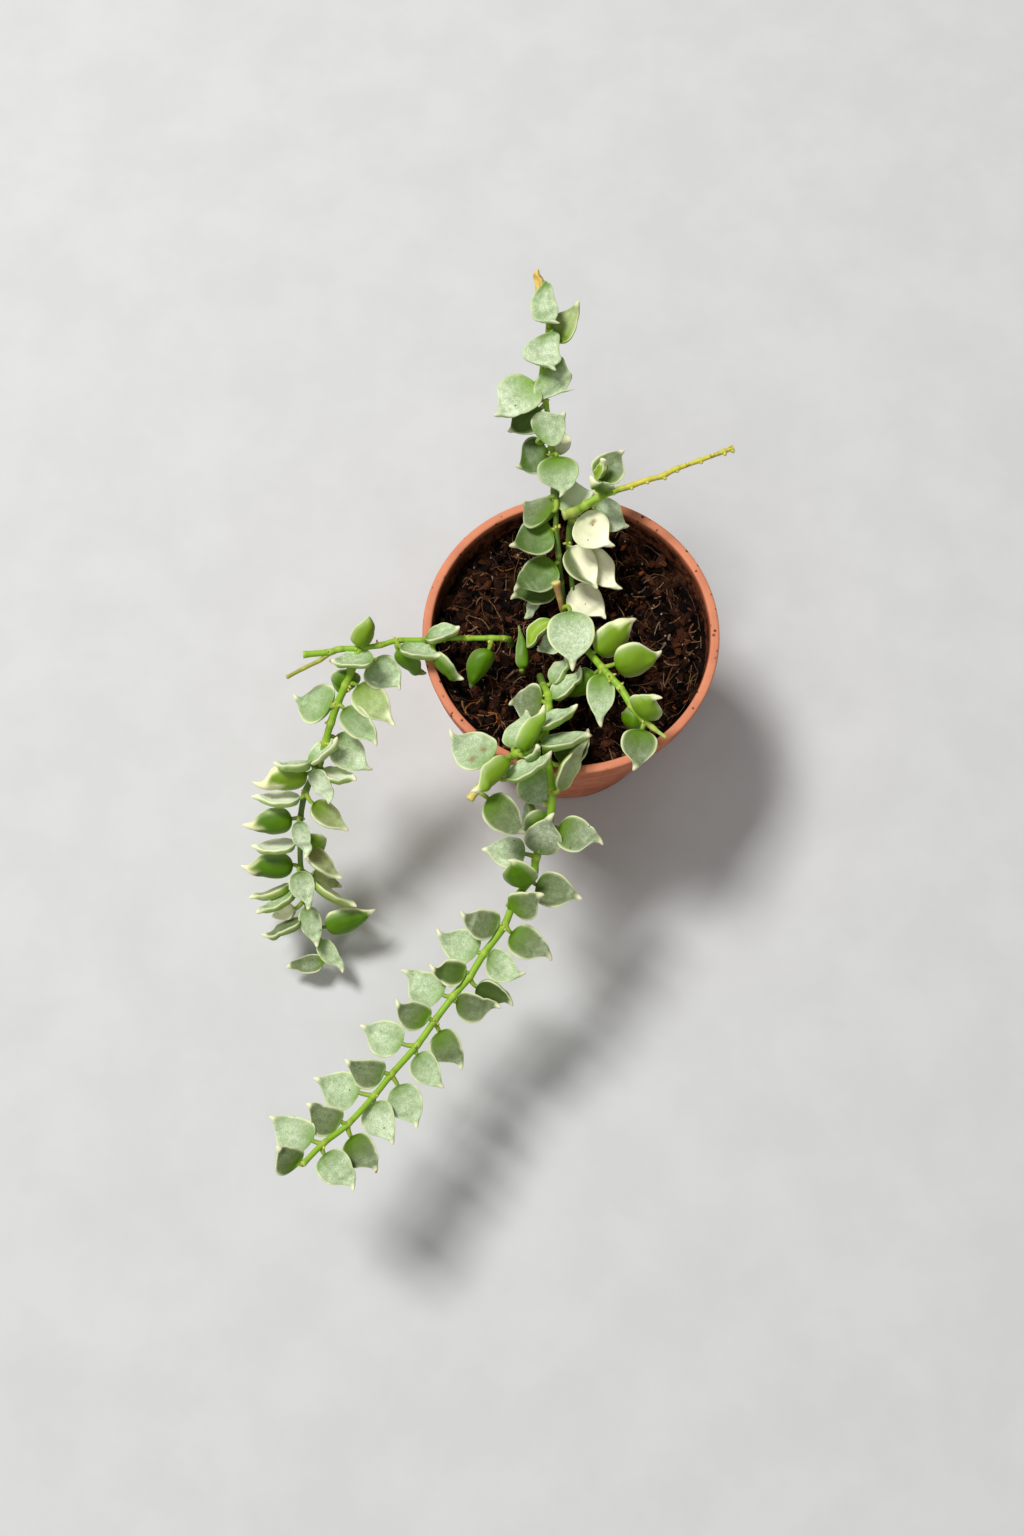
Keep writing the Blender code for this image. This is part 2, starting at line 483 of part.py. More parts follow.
def build_soil():
    bottom = FLOOR + SOIL_GAP
    edge = inner_radius(SOIL_TOP) - SOIL_GAP
    points = [Vector((0, 0, soil_height(0, 0)))]
    for ring in range(1, SOIL_RINGS + 1):
        radius = edge * ring / SOIL_RINGS
        for k in range(SOIL_SIDES):
            angle = 2 * math.pi * k / SOIL_SIDES
            x, y = radius * math.cos(angle), radius * math.sin(angle)
            points.append(Vector((x, y, soil_height(x, y))))
    for k in range(SOIL_SIDES):
        angle = 2 * math.pi * k / SOIL_SIDES
        radius = inner_radius(bottom) - SOIL_GAP
        points.append(Vector((radius * math.cos(angle), radius * math.sin(angle), bottom)))
    faces = []
    for k in range(SOIL_SIDES):
        after = (k + 1) % SOIL_SIDES
        faces.append((0, 1 + k, 1 + after))
        for ring in range(SOIL_RINGS):
            near, far = 1 + ring * SOIL_SIDES, 1 + (ring + 1) * SOIL_SIDES
            faces.append((near + k, near + after, far + after, far + k))
    faces.append(tuple(range(1 + SOIL_RINGS * SOIL_SIDES, len(points))))
    finish = material("potting_mix", (0.07, 0.04, 0.025), 0.95)
    soil = new_object("soil", points, faces, finish)
    holes = []
    for name, stems in PLANTS.items():
        x, y = stems[0].root
        low = SOIL_TOP - ROOT_DEPTH - ROOT_CLEAR
        holes.append(cylinder(f"{name}_hole", x, y, HOLE_RADIUS, low, POT_HEIGHT))
    apply_boolean(soil, holes, "DIFFERENCE")


def route_points(stem):
    """A stem's route as points, and how many stand in front of its first route point."""
    points = [seen(*place) for place in stem.route]
    if stem.root is None:
        return points, 0
    x, y = stem.root
    upright = [Vector((x, y, SOIL_TOP + height)) for height in (-ROOT_DEPTH, -1, 3)]
    return upright + points, len(upright)


def spread(values, share):
    """The value at a share of the way through evenly spaced values."""
    place = share * (len(values) - 1)
    k = min(int(place), len(values) - 2)
    return values[k] + (values[k + 1] - values[k]) * (place - k)


def along(points, place):
    """The smooth curve through the points, at a place counted in points."""
    last = len(points) - 1
    place = min(max(place, 0), last)
    k = min(int(place), last - 1)
    t = place - k
    p1, p2 = points[k], points[k + 1]
    p0 = points[k - 1] if k > 0 else p1 * 2 - p2
    p3 = points[k + 2] if k + 2 <= last else p2 * 2 - p1
    return 0.5 * (
        2 * p1
        + (p2 - p0) * t
        + (2 * p0 - 5 * p1 + 4 * p2 - p3) * t ** 2
        + (3 * p1 - 3 * p2 + p3 - p0) * t ** 3
    )


def stem_body(name, stem):
    points, first = route_points(stem)
    halves = 2 * (len(points) - 1)
    centres = [along(points, k / 2) for k in range(halves + 1)]
    side = Vector((1, 0, 0))
    rings = []
    for k, centre in enumerate(centres):
        ahead = (centres[min(k + 1, halves)] - centres[max(k - 1, 0)]).normalized()
        side = (side - ahead * side.dot(ahead)).normalized()
        other = ahead.cross(side)
        radius = spread(stem.thick, k / halves)
        if k / 2 >= first:
            radius *= NODE_SWELL if k % 2 == 0 else BETWEEN_NODES
        turns = [2 * math.pi * j / STEM_SIDES for j in range(STEM_SIDES)]
        rings.append([centre + (side * math.cos(a) + other * math.sin(a)) * radius for a in turns])
    return new_object(name, *loft(rings))


def stalk_body(name, start, end):
    """A short round stalk between two points."""
    ahead = (end - start).normalized()
    side = ahead.orthogonal().normalized()
    other = ahead.cross(side)
    turns = [2 * math.pi * k / STALK_SIDES for k in range(STALK_SIDES)]
    rings = []
    for centre, radius in ((start, STALK_RADIUS), (end, STALK_END_RADIUS)):
        rings.append([centre + (side * math.cos(a) + other * math.sin(a)) * radius for a in turns])
    return new_object(name, *loft(rings))


def blade_rows(widest):
    """Places along a blade, as a share of its length, with the breadth at each, from 0 to 1."""
    narrowing = 1 - widest
    return (
        (0.0, 0.14), (0.32 * widest, 0.72), (widest, 1.0),
        (widest + 0.42 * narrowing, 0.86), (widest + 0.79 * narrowing, 0.30),
    )


def leaf_bodies(name, stem, leaf):
    """A leaf's stalk and its blade, which is flat or cupped above and rounded below."""
    points, first = route_points(stem)
    start = along(points, leaf.at + first)
    base = seen(leaf.base[0], leaf.base[1], start.z + leaf.base[2])
    tip = seen(leaf.tip[0], leaf.tip[1], base.z + leaf.tip[2])
    run = (tip - base).normalized()
    face = Vector(leaf.face)
    normal = (face - run * face.dot(run)).normalized()
    side = run.cross(normal)
    cup = -CUP_PER_ARCH * leaf.arch if leaf.cup is None else leaf.cup
    middles = []
    rings = []
    for share, breadth in blade_rows(leaf.widest):
        swing = 4 * share * (1 - share)
        middle = base + (tip - base) * share + normal * leaf.arch * swing - side * leaf.bow * swing
        half = breadth * leaf.width / 2
        thick = max(LEAF_THICKNESS * breadth ** 0.5, LEAST_THICKNESS)
        rim = cup * breadth
        low = 0.25 * rim
        section = (
            (half, rim), (0.45 * half, low), (-0.45 * half, low), (-half, rim),
            (-0.5 * half, low - thick), (0.5 * half, low - thick),
        )
        rings.append([middle + side * a + normal * b for a, b in section])
        middles.append(middle + normal * (low - 0.5 * thick))
    stalk = stalk_body(f"{name}_stalk", start, middles[0] + (middles[1] - middles[0]) * 0.7)
    return [stalk, new_object(name, *loft(rings, tip))]


def build_plants():
    finish = material("leaf", (0.36, 0.48, 0.24), 0.45)
    for name, stems in PLANTS.items():
        bodies = []
        for s, stem in enumerate(stems):
            bodies.append(stem_body(f"{name}_{s}", stem))
            for k, leaf in enumerate(stem.leaves):
                bodies += leaf_bodies(f"{name}_{s}_leaf_{k}", stem, leaf)
        plant = bodies.pop(0)
        plant.name = name
        plant.data.name = name
        apply_boolean(plant, bodies, "UNION")
        plant.data.materials.clear()
        plant.data.materials.append(finish)


def main():
    clear_scene()
    build_pot()
    build_soil()
    build_plants()


main()
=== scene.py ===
"""The looks of a potted dischidia: fine leaves, stems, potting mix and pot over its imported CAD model.

Lengths are in millimetres until a mesh is made. The pot stands on z = 0, round the Z axis, and the
long trail runs towards -Y. The plant's tables are the CAD source's own, with a look for each leaf.
"""
import random
from collections import namedtuple
from math import cos, exp, hypot, pi, radians, sin, sqrt

import bmesh
import bpy
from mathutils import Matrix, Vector
from mathutils.noise import noise


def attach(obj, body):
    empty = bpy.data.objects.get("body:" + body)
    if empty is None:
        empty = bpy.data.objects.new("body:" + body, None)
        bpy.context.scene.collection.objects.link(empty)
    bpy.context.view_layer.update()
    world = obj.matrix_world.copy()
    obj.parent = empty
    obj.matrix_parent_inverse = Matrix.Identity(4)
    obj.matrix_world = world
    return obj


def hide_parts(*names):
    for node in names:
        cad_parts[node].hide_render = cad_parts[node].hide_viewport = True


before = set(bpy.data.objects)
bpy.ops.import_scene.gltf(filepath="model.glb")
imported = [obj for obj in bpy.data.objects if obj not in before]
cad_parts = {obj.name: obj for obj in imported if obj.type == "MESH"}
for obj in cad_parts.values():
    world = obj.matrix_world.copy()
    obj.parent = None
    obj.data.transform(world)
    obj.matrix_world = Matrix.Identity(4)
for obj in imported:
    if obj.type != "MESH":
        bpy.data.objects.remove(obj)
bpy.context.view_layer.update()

MM = 0.001
# The colour sockets of a Mix node
MIX_FIRST, MIX_SECOND, MIX_RESULT = 6, 7, 2

# Pot
RIM_RADIUS = 45
RIM_WIDTH = 2.9
POT_HEIGHT = 75
COLLAR_HEIGHT = 9.5
COLLAR_STEP = 1.5
BASE_RADIUS = 31
WALL = 1.2
POT_FLOOR = 1.5
DRAIN_HOLES = 6
DRAIN_CIRCLE = 20
DRAIN_RADIUS = 2.8
DRAIN_SIDES = 32
DRAIN_CUT = 8
POT_SIDES = 160
ROUND_STEPS = 5
SHARP_ANGLE = 40
COLLAR_FOOT = POT_HEIGHT - COLLAR_HEIGHT
COLLAR_RADIUS = RIM_RADIUS - COLLAR_STEP
WALL_RADIUS = COLLAR_RADIUS - 0.9
MOUTH_RADIUS = RIM_RADIUS - RIM_WIDTH
INNER_RADIUS = MOUTH_RADIUS - 0.4

# Potting mix
SOIL_TOP = 66
SOIL_GAP = 0.15
SOIL_BOTTOM = 2.0
SOIL_RINGS = 84
SOIL_SIDES = 240
CHIPS = 1500
CHIP_MARGIN = 2.5
FIBRES = 300
SHREDS = 170
FIBRE_MARGIN = 1.5
FIBRE_STEPS = 8
FIBRE_SIDES = 5
GRAINS = 90
HUMP_HEIGHT, HUMP_SIZE = 1.1, 22
LUMP_SHARE, LUMP_SIZE = 0.7, 7
CRUMB_HEIGHT, CRUMB_SIZE = 1.6, 3.4
SMALL_CRUMB_HEIGHT, SMALL_CRUMB_SIZE = 1.0, 1.6
GRIT_HEIGHT, GRIT_SIZE = 0.5, 0.8
CRUMB_SINK = 0.3

# Plant
NODE_SWELL = 0.17
BETWEEN_NODES = 0.95
NODE_LENGTH = 1.1
STEM_FOOT = (-9, -1, 3)
BUD_SHARE = 0.7
BUDS = (1, 3)
CROWDED_BUDS = (3, 8)
BUD_RADII = (0.42, 0.38, 0.16)
BUD_SIDES = 7
SCAR_RADII = (0.68, 0.54, 0.46, 0.3)
SCAR_PLACES = (0, 0.6, 0.9, 1)
SCAR_SIDES = 8
SCARRED_POINTS = 4
SCARRED_GAP = 6
STEM_SIDES = 12
STEM_STEP = 0.8
STALK_RADIUS = 0.8
STALK_END_RADIUS = 0.6
STALK_ROWS = 6
LEAF_THICKNESS = 2.3
ARCH_SHARE = 0.6
CUP_PER_ARCH = 0.4
TIP_RADIUS = 0.38
TIP_ROUND = 0.05
TIP_FOOT = 0.75
CURL_START = 0.6
CURL_PEAK = 0.04
WIDEST = 0.34
BLADE_END = 0.86
BASE_ROUNDNESS = 2.8
FLANK = 2.2
SLENDER_FLANK = 1.3
UPPER_SHARE = 0.35
BLADE_ROWS = 36
BLADE_SIDES = 34

# The eye that the plant's places are seen from: (x, y) in the tables is a place in the rim's plane,
# and a higher or lower point lies on the same line of sight
EYE = Vector((-17.8, -190, 555.4))
CAMERA_DIP = 73
LENS = 40
SENSOR = 36

# Stage, in metres, with the name, place, size and power of each light
FLOOR_REACH = 2.5
FLOOR_DROP = 0.0002
LIT_PLACE = Vector((-0.01, -0.02, 0.06))
LIGHTS = (
    ("key", (-0.75, 0.55, 1.85), 0.5, 39),
    ("fill", (-0.5, -1.1, 1.7), 1.2, 9),
)
WORLD_COLOUR = (0.97, 0.98, 1.0, 1.0)
WORLD_STRENGTH = 0.19


def rgb(red, green, blue):
    """Turn a colour from 0-255 sRGB into linear light."""
    shares = [value / 255 for value in (red, green, blue)]
    return Vector([s / 12.92 if s < 0.04045 else ((s + 0.055) / 1.055) ** 2.4 for s in shares])


# The upper and the lower face of each kind of leaf: pale, mid green, green, lime, olive, cream,
# yellow and whitish, the last a brighter copy of pale that paints light onto leaves in shade
TONES = {
    "P": (rgb(104, 142, 52), rgb(130, 172, 16)),
    # Mid green: the leaf's own darker tone, partly painted shade on leaves turned from the light
    "M": (rgb(70, 88, 8), rgb(104, 146, 4)),
    "G": (rgb(66, 94, 0), rgb(80, 120, 0)),
    "L": (rgb(140, 170, 26), rgb(118, 152, 8)),
    "O": (rgb(132, 148, 60), rgb(136, 160, 40)),
    "C": (rgb(255, 252, 214), rgb(248, 244, 190)),
    "Y": (rgb(214, 176, 58), rgb(186, 150, 48)),
    # Whitish: pale painted brighter, painted light for pale leaves that lie in shade
    "W": (rgb(232, 238, 204), rgb(148, 190, 54)),
}
# How much of each kind's upper and lower face is covered with a pale frosting
FROST = {
    "P": (0.52, 0.03), "M": (0.17, 0.02), "G": (0.05, 0.0), "L": (0.05, 0.02), "O": (0.26, 0.05),
    "C": (0.02, 0.02), "Y": (0.1, 0.1), "W": (0.4, 0.02),
}
FROST_TONE = rgb(216, 228, 194)
MARGIN = rgb(232, 238, 186)
LEAF_TIP = rgb(238, 236, 194)
LEAF_BASE = rgb(110, 150, 4)
DRY = rgb(150, 100, 40)
PIT = rgb(58, 52, 30)
STEM_GREEN = rgb(138, 180, 20)
# Darker stem green: painted shade, near a stem's foot also its older skin
STEM_SHADE = rgb(72, 100, 18)
NODE_PALE = rgb(190, 204, 84)
STALK_GREEN = rgb(152, 172, 44)
STEM_BARE = rgb(204, 192, 50)
STEM_CUT = rgb(224, 200, 104)
STEM_DRY = rgb(176, 130, 76)
STEM_BROWN = rgb(150, 96, 44)

# What a leaf's look adds to its frosting: p and w also brighten leaves in shade, a painted light
FROST_STEPS = (("p", 0.16), ("w", 0.14), ("d", -0.2))
# Where a spotted leaf's brown spots lie, of which a cream leaf has the second: (share of length,
# share of half width)
SPOTS = ((0.24, 0.3), (0.3, -0.36))

# Colours of the potting mix
SOIL_DARK = rgb(9, 4, 2)
SOIL_BROWN = rgb(74, 43, 26)
BARK_TONES = [rgb(52, 29, 18), rgb(92, 54, 33), rgb(170, 92, 44), rgb(166, 120, 84), rgb(12, 6, 4)]
BARK_SHARES = (9, 6, 0.2, 0.3, 10)
SHRED_TONES = [rgb(158, 120, 88), rgb(122, 80, 54), rgb(182, 108, 52), rgb(148, 128, 110)]
SHRED_SHARES = (4, 5, 2, 3)
SOIL_GRIT = Vector((0.36, 0.32, 0.3))
GRAIN = rgb(214, 208, 196)
FIBRE_DARK = rgb(92, 58, 40)
FIBRE_PALE = rgb(176, 138, 96)

# Colours of the pot and the floor
POT_LIT = rgb(206, 124, 86)
POT_SHADE = rgb(176, 96, 64)
# Painted highlight along the rim's top
RIM_HIGHLIGHT = rgb(232, 156, 122)
RIM_PIT = rgb(84, 38, 26)
# Soil dust with painted shade on the pot's inner wall
SOIL_DUST_AND_SHADE = rgb(42, 22, 14)
FLOOR_TONES = (rgb(203, 203, 201), rgb(208, 208, 207))

# Directions that a leaf's upper face looks in
UP = (0, 0, 1)
VIEW = (0, -0.4, 0.9)
FRONT = (0, -0.9, 0.5)
BACK = (0, 1, 0.6)
AWAY = (0, 1, -0.15)
OVER = (0, 0.6, -0.6)
LEFT = (-1, 0.2, 0.6)
RIGHT = (1, 0.2, 0.6)
LEFT_BACK = (-0.6, 0.75, 0.6)
RIGHT_BACK = (0.5, 0.85, 0.3)
RIGHT_AWAY = (0.6, 0.7, -0.3)

# at: place along its stem's route, counted in route points
# base, tip: where the blade starts and ends, as (x, y in the rim's plane, height above the stem
# for the base or above the base for the tip)
# look: the kind's letter, then b broad green base, e broad pale edge, c cream end, k a longer one,
# h half green, v half plain green, n faint edge and tip, r round end without a tip, f slender,
# p and w more frosted, partly painted light on a shaded leaf, d less frosted, t dry tip, s brown spots
# face: the direction that its upper face looks in
# arch: rise of the midrib's middle, negative where the leaf is cupped
# bow: the midrib's sideways bend, to the left seen from its base; cup: rise of the margins, if unusual
# widest: the share of the length at which the blade is widest, if unusual
Leaf = namedtuple(
    "Leaf", "at base tip width look face arch bow cup widest", defaults=("P", UP, -1, 0, None, None),
)

# route: points as (x, y in the rim's plane, height), thick: radius at even steps along it
# root: where the stem stands in the soil, or None on a side branch; leaves: rows of Leaf's values
# bare: the route point from which it has no leaves, skin: its colour there, cut: of its end
# shaded: the part of the route where the stem is darker green, painted shade that near a stem's foot is
# also its older skin, margin: how strongly its leaves are edged
FROM_FOOT, TO_END = -9, 99
Stem = namedtuple(
    "Stem", "route thick root leaves bare skin cut deep margin",
    defaults=(None, (), TO_END, STEM_BARE, STEM_CUT, (FROM_FOOT, 0.2), 1.0),
)

BACK_STEM = Stem(
    root=(-2.0, 10.9),
    route=(
        (-2.9, 16, 75), (-3.5, 25, 82.5), (-4.2, 34, 87.5), (-4.2, 42, 91), (-4, 50, 94),
        (-5, 59, 97.5), (-6, 68, 101), (-7.2, 78, 105), (-8.3, 87, 109), (-7.4, 95, 112.5),
        (-6.2, 103, 116), (-6.6, 111, 119.5), (-7.4, 118, 122),
    ),
    thick=(1.0, 0.85, 0.75),
    deep=(FROM_FOOT, 5.0),
    margin=0.55,
    leaves=(
        (-0.4, (-9.6, 12, -2.5), (-14, 4, -2), 3.8, "Pp", UP, -0.3),
        (0, (-4.5, 14.8, -1), (-18.3, 10.4, -1), 9, "G"),
        (0.8, (-4.6, 22, 0), (-17.2, 12.9, -1), 11.5, "Gb"),
        (2, (-5.4, 33.2, 0), (-18.7, 28, -1), 12.5, "Gb"),
        (3.2, (-5.2, 39.8, 0), (-14.6, 43, -6), 12.8, "Mb", UP, -1, 1.5),
        (3.4, (-5.6, 44.6, -1), (8.4, 47.2, -2), 11.4, "Wb", UP, -1.2, -0.4),
        (5, (-3.8, 58.4, 2.5), (-3, 44.4, -3), 12.4, "Pb", VIEW),
        (5.2, (-6.8, 60.8, -1), (-16.8, 55, -3), 12.6, "G"),
        (5, (-3.4, 60, -1.5), (-2.2, 70, -3), 7, "C"),
        (5.6, (-9.3, 64.6, 4), (-1, 74, 3), 11, "Pe", VIEW, -1, 0.4),
        (6.9, (-9, 75, -1), (-19.2, 67, -3), 11, "G"),
        (8, (-10.4, 84, 0), (-23.7, 72.6, 0), 13.4, "Pbpw", UP, -1, -0.8),
        (8.6, (-4.2, 92.6, 1.5), (2, 82, -3), 12.4, "Pb", VIEW, -0.6, -4.6, None, 0.6),
        (9.3, (-5, 102.4, 3.8), (-4, 88.5, -1.5), 10.8, "Pp", VIEW, -0.6, -3.8, None, 0.6),
        (9.6, (-3.4, 98.8, 0), (3.6, 114, 4), 9, "Ob", (-0.5, -0.2, 0.85), -1, 1),
        (12, (-7, 120.2, 1.5), (-2.5, 105.5, -2), 7.8, "Pe", VIEW, -0.6, -2.8, None, 0.62),
        (12, (-9.2, 114.5, -1.5), (-9.4, 125.5, 1), 3.8, "Yn", LEFT, -0.4),
    ),
)

CREAM_STEM = Stem(
    root=(1.2, 11.5),
    route=(
        (0.2, 19.5, 76), (-0.4, 29, 83.5), (0.8, 37, 90.5), (5, 41.8, 93.5), (9, 44.3, 95),
        (13.5, 46.5, 96.5), (18.8, 48.2, 97.5), (24, 50.3, 98.5), (29, 51.7, 99.5),
        (33, 54, 100.5), (40.5, 57, 102), (48, 60, 103.5), (51.3, 61.3, 104),
    ),
    thick=(0.8, 0.8, 1.25, 0.88, 0.76, 0.62),
    bare=6,
    deep=(FROM_FOOT, 2.4),
    leaves=(
        (-0.5, (0.6, 14, 0.5), (10.6, 4, -1), 11, "C"),
        (0.7, (4, 25.5, -1), (15.8, 13.8, -3), 10.5, "Cb"),
        (0.9, (0.3, 27.6, 1), (8.2, 13.7, -3), 10, "Ch"),
        (1.9, (2.4, 37, 1), (13.8, 28, -2), 12.8, "Cbs"),
        (3, (7.5, 41, -5), (18.3, 34.6, -3), 10.5, "Ppw"),
        (4.6, (9.2, 50.6, 0), (17.3, 60.5, 1), 10.4, "Mb"),
        (5, (12.2, 46.8, 1.5), (6.4, 51.8, 7), 6, "Pv", RIGHT_BACK, -0.6, 0, 1.4),
        (4.8, (8.2, 51, 0.5), (11.2, 57.2, 6), 3.2, "Lc", (-0.7, -0.2, 0.5), -0.4, 0, 0.5),
    ),
)

CREAM_STUB = Stem(
    route=((3, 40.2, 92.8), (0.5, 39.2, 93), (-2, 38.3, 93)), thick=(1.3, 1.45), bare=1,
    skin=rgb(160, 176, 74), cut=rgb(186, 190, 104),
)

RIGHT_STEM = Stem(
    root=(1.6, -0.4),
    route=(
        (2.6, -3, 76), (4.6, -5.8, 81), (9.3, -11.8, 84.5), (11.6, -14.6, 85.5), (14.5, -18, 86),
        (18, -24, 86.5), (21.3, -28, 86.5), (24, -30.7, 86), (27.6, -33.6, 85.5),
    ),
    thick=(1.15, 1.2, 1.15, 1.05, 1.2, 0.45),
    bare=7,
    skin=rgb(186, 202, 92),
    cut=rgb(226, 226, 160),
    leaves=(
        (1.3, (7.4, -6.4, 1), (19.8, 4.1, 1), 10, "Lec", OVER),
        (2, (13, -10.6, 0.5), (27.3, -6.3, 1), 11, "Le", OVER),
        (2, (8.7, -13.8, 0.5), (8.6, -30.5, -3), 8.4, "Pb"),
        (2, (7, -13.6, -4), (-2.2, -20.6, -9), 8, "G", RIGHT_AWAY),
        (6, (21.2, -26.4, 0.5), (27, -21.2, 8), 11, "Lb", OVER, -0.6, -1.5),
        (6, (20.4, -28.6, -1.5), (15, -26.3, -6), 8, "G", OVER),
        (6.2, (20.7, -31.3, 0), (17.8, -44, -2), 10.6, "Mb"),
    ),
)

RIGHT_STUB = Stem(
    route=((1.9, -1.8, 71), (-0.8, 3.5, 78.5), (-2.6, 7.3, 85), (-3.4, 11, 88.5), (-4.5, 16, 92)),
    thick=(1.1, 1.0, 0.75, 0.85, 1.3),
    bare=2,
    skin=STEM_DRY,
    cut=STEM_CUT,
    leaves=(
        (2, (-0.2, 6.4, 4), (0.3, -12.8, -1), 14, "Pp"),
        (1.2, (-5.6, 3.4, 1.5), (-13.3, -5.2, 1), 5.4, "Lr", (-0.5, 0.1, 0.9), -1, -2, 1.4),
        (0.8, (-3.5, -2.5, -1), (-10.3, -6.2, -2), 7),
    ),
)

FRONT_TRAIL = Stem(
    root=(-9.3, -12.3),
    route=(
        (-8.4, -17.5, 76.5), (-7.1, -20.5, 79.5), (-7, -24.5, 81), (-7.8, -29, 81),
        (-8, -34.5, 80), (-7.3, -40.8, 78.5), (-6.1, -50, 77), (-6.9, -59, 73.5),
        (-10.8, -70.3, 68), (-11.7, -75.6, 66), (-16.8, -82.6, 63.3), (-20.2, -90.6, 60.8),
        (-25.7, -98.3, 58.8), (-29.8, -105, 57.6), (-34.4, -110.6, 57), (-39.6, -117.6, 57),
        (-44.4, -124.4, 57.6), (-51.6, -132.7, 59.2), (-56.1, -138.4, 60.8),
        (-63.2, -146.2, 63.6), (-69.9, -151.5, 66.4), (-75.3, -157, 69.5),
    ),
    thick=(1.0, 1.25, 1.25, 1.15, 1.0, 0.85),
    leaves=(
        (0, (-6, -16.4, 1), (-1.8, -7.6, 5), 7.6, "P", (-0.7, 0.3, 0.65), -1, 0, 1),
        (1, (-5.8, -21.4, 1), (2.7, -11.2, 3), 8.6, "P", (-0.5, 0.5, 0.75), -1, 0, 0.9),
        (1.9, (-9, -22.4, 0), (-18.8, -23.5, -6), 12.2, "M"),
        (3, (-10.8, -30.2, 3.6), (1.8, -23.3, 2), 8.4, "P", (-0.35, 0.75, 0.7), -1, 0, 0.9),
        (5, (-3.2, -41.4, -1.4), (4.8, -30.8, -1), 9.5, "G", RIGHT_BACK),
        (5, (-11.8, -43.3, -0.5), (-6.6, -55.2, -4), 10.5, "Pb", UP, 1, -2.2),
        (6, (-4, -49.8, 2.5), (4.6, -34.6, 4), 8, "O", RIGHT),
        (6.6, (-13, -54, -3), (-15.2, -62, -5), 5, "P", LEFT),
        (7, (-7, -57, 0), (-15, -62, -5), 11, "G", AWAY),
        (7.2, (-4.4, -61.5, 0), (8.7, -66.5, 0), 11, "Mbw"),
        (8, (-10.4, -69, 1.5), (-5.5, -56.8, 8), 11.2, "Mpw", VIEW, 1.5),
        (8, (-14, -69.2, 1), (-26.6, -67.8, 0), 10.2, "Pw", (-0.2, 0.2, 1)),
        (9, (-13.6, -78, 1), (-18.8, -71, 8), 11, "G", AWAY, 0.8),
        (9, (-10.8, -78.3, -1), (2.4, -82.6, 0), 10.8, "M"),
        (10, (-18.6, -84.4, 1.5), (-8.5, -81.2, 6), 9, "Mb", VIEW, 1.2, -1.6),
        (11, (-21.4, -90, 0.5), (-32.6, -86, 3), 9.6, "M", UP, 1, 1.8),
        (10.4, (-18, -92.4, -1), (-6.4, -100.5, -1), 10, "Mb", UP, 0.6),
        (12, (-27.6, -98, 0), (-39.3, -91.2, 0), 10.8, "P", UP, -1, 0.8),
        (12, (-24.6, -99, 0), (-13.8, -103.9, 0), 9.4, "P", UP, -1, -1.6),
        (13, (-30.8, -103.8, 1), (-41.3, -101.4, 3), 8.4, "Ge", UP, 0.8, 1.2),
        (13, (-27.8, -107.9, -1.5), (-17.5, -113.4, -1), 10, "G", FRONT),
        (14, (-37.4, -110.2, 0), (-49.3, -103.2, 0), 11, "P", UP, -1, 1.2),
        (14, (-33.6, -112.2, -0.5), (-20.9, -114, 0), 9, "M", VIEW, -1, -1.4),
        (15, (-41, -117, 1), (-50.6, -111.4, 3), 9, "Mb", UP, 1, 1.8),
        (15, (-38.2, -120.5, -2), (-31.9, -131.2, -2), 9.4, "Mb", UP, 0.8, -0.8),
        (16, (-48.6, -124, 0), (-60.6, -118.8, 0), 11, "P", UP, -1, 0.6),
        (16, (-44.4, -127, -0.5), (-36.8, -136.3, -1), 8.6, "P", UP, -1, -0.8),
        (17, (-53.3, -132.1, 1), (-64.7, -128.4, 2), 9, "M", UP, 1, 2),
        (17, (-49.6, -135.6, -1), (-44.1, -147.3, -1), 10.2),
        (18, (-60.3, -137.6, 0), (-73.2, -133.5, 0), 11.4, "P", UP, -1, 1),
        (18, (-56, -140.2, -0.5), (-50.6, -151.8, -1), 9.6, "Pp", UP, -1, -1),
        (19, (-65, -145.6, 1), (-75, -140.6, 2), 9.2, "M", UP, 1, 2),
        (19, (-62.2, -149.6, -1), (-55, -159.4, -1), 9.8, "Mbt", UP, -1, -0.6),
        (20, (-72.9, -150.6, 0), (-85.1, -144.1, 0), 10.6, "P", UP, -1, 1.2),
        (20, (-69.5, -154.3, -0.5), (-61.2, -164.2, -1), 9.8),
        (21, (-76.2, -156.8, 0), (-82.7, -152.1, 6), 9, "Mb", UP, 1, 1.5),
    ),
)

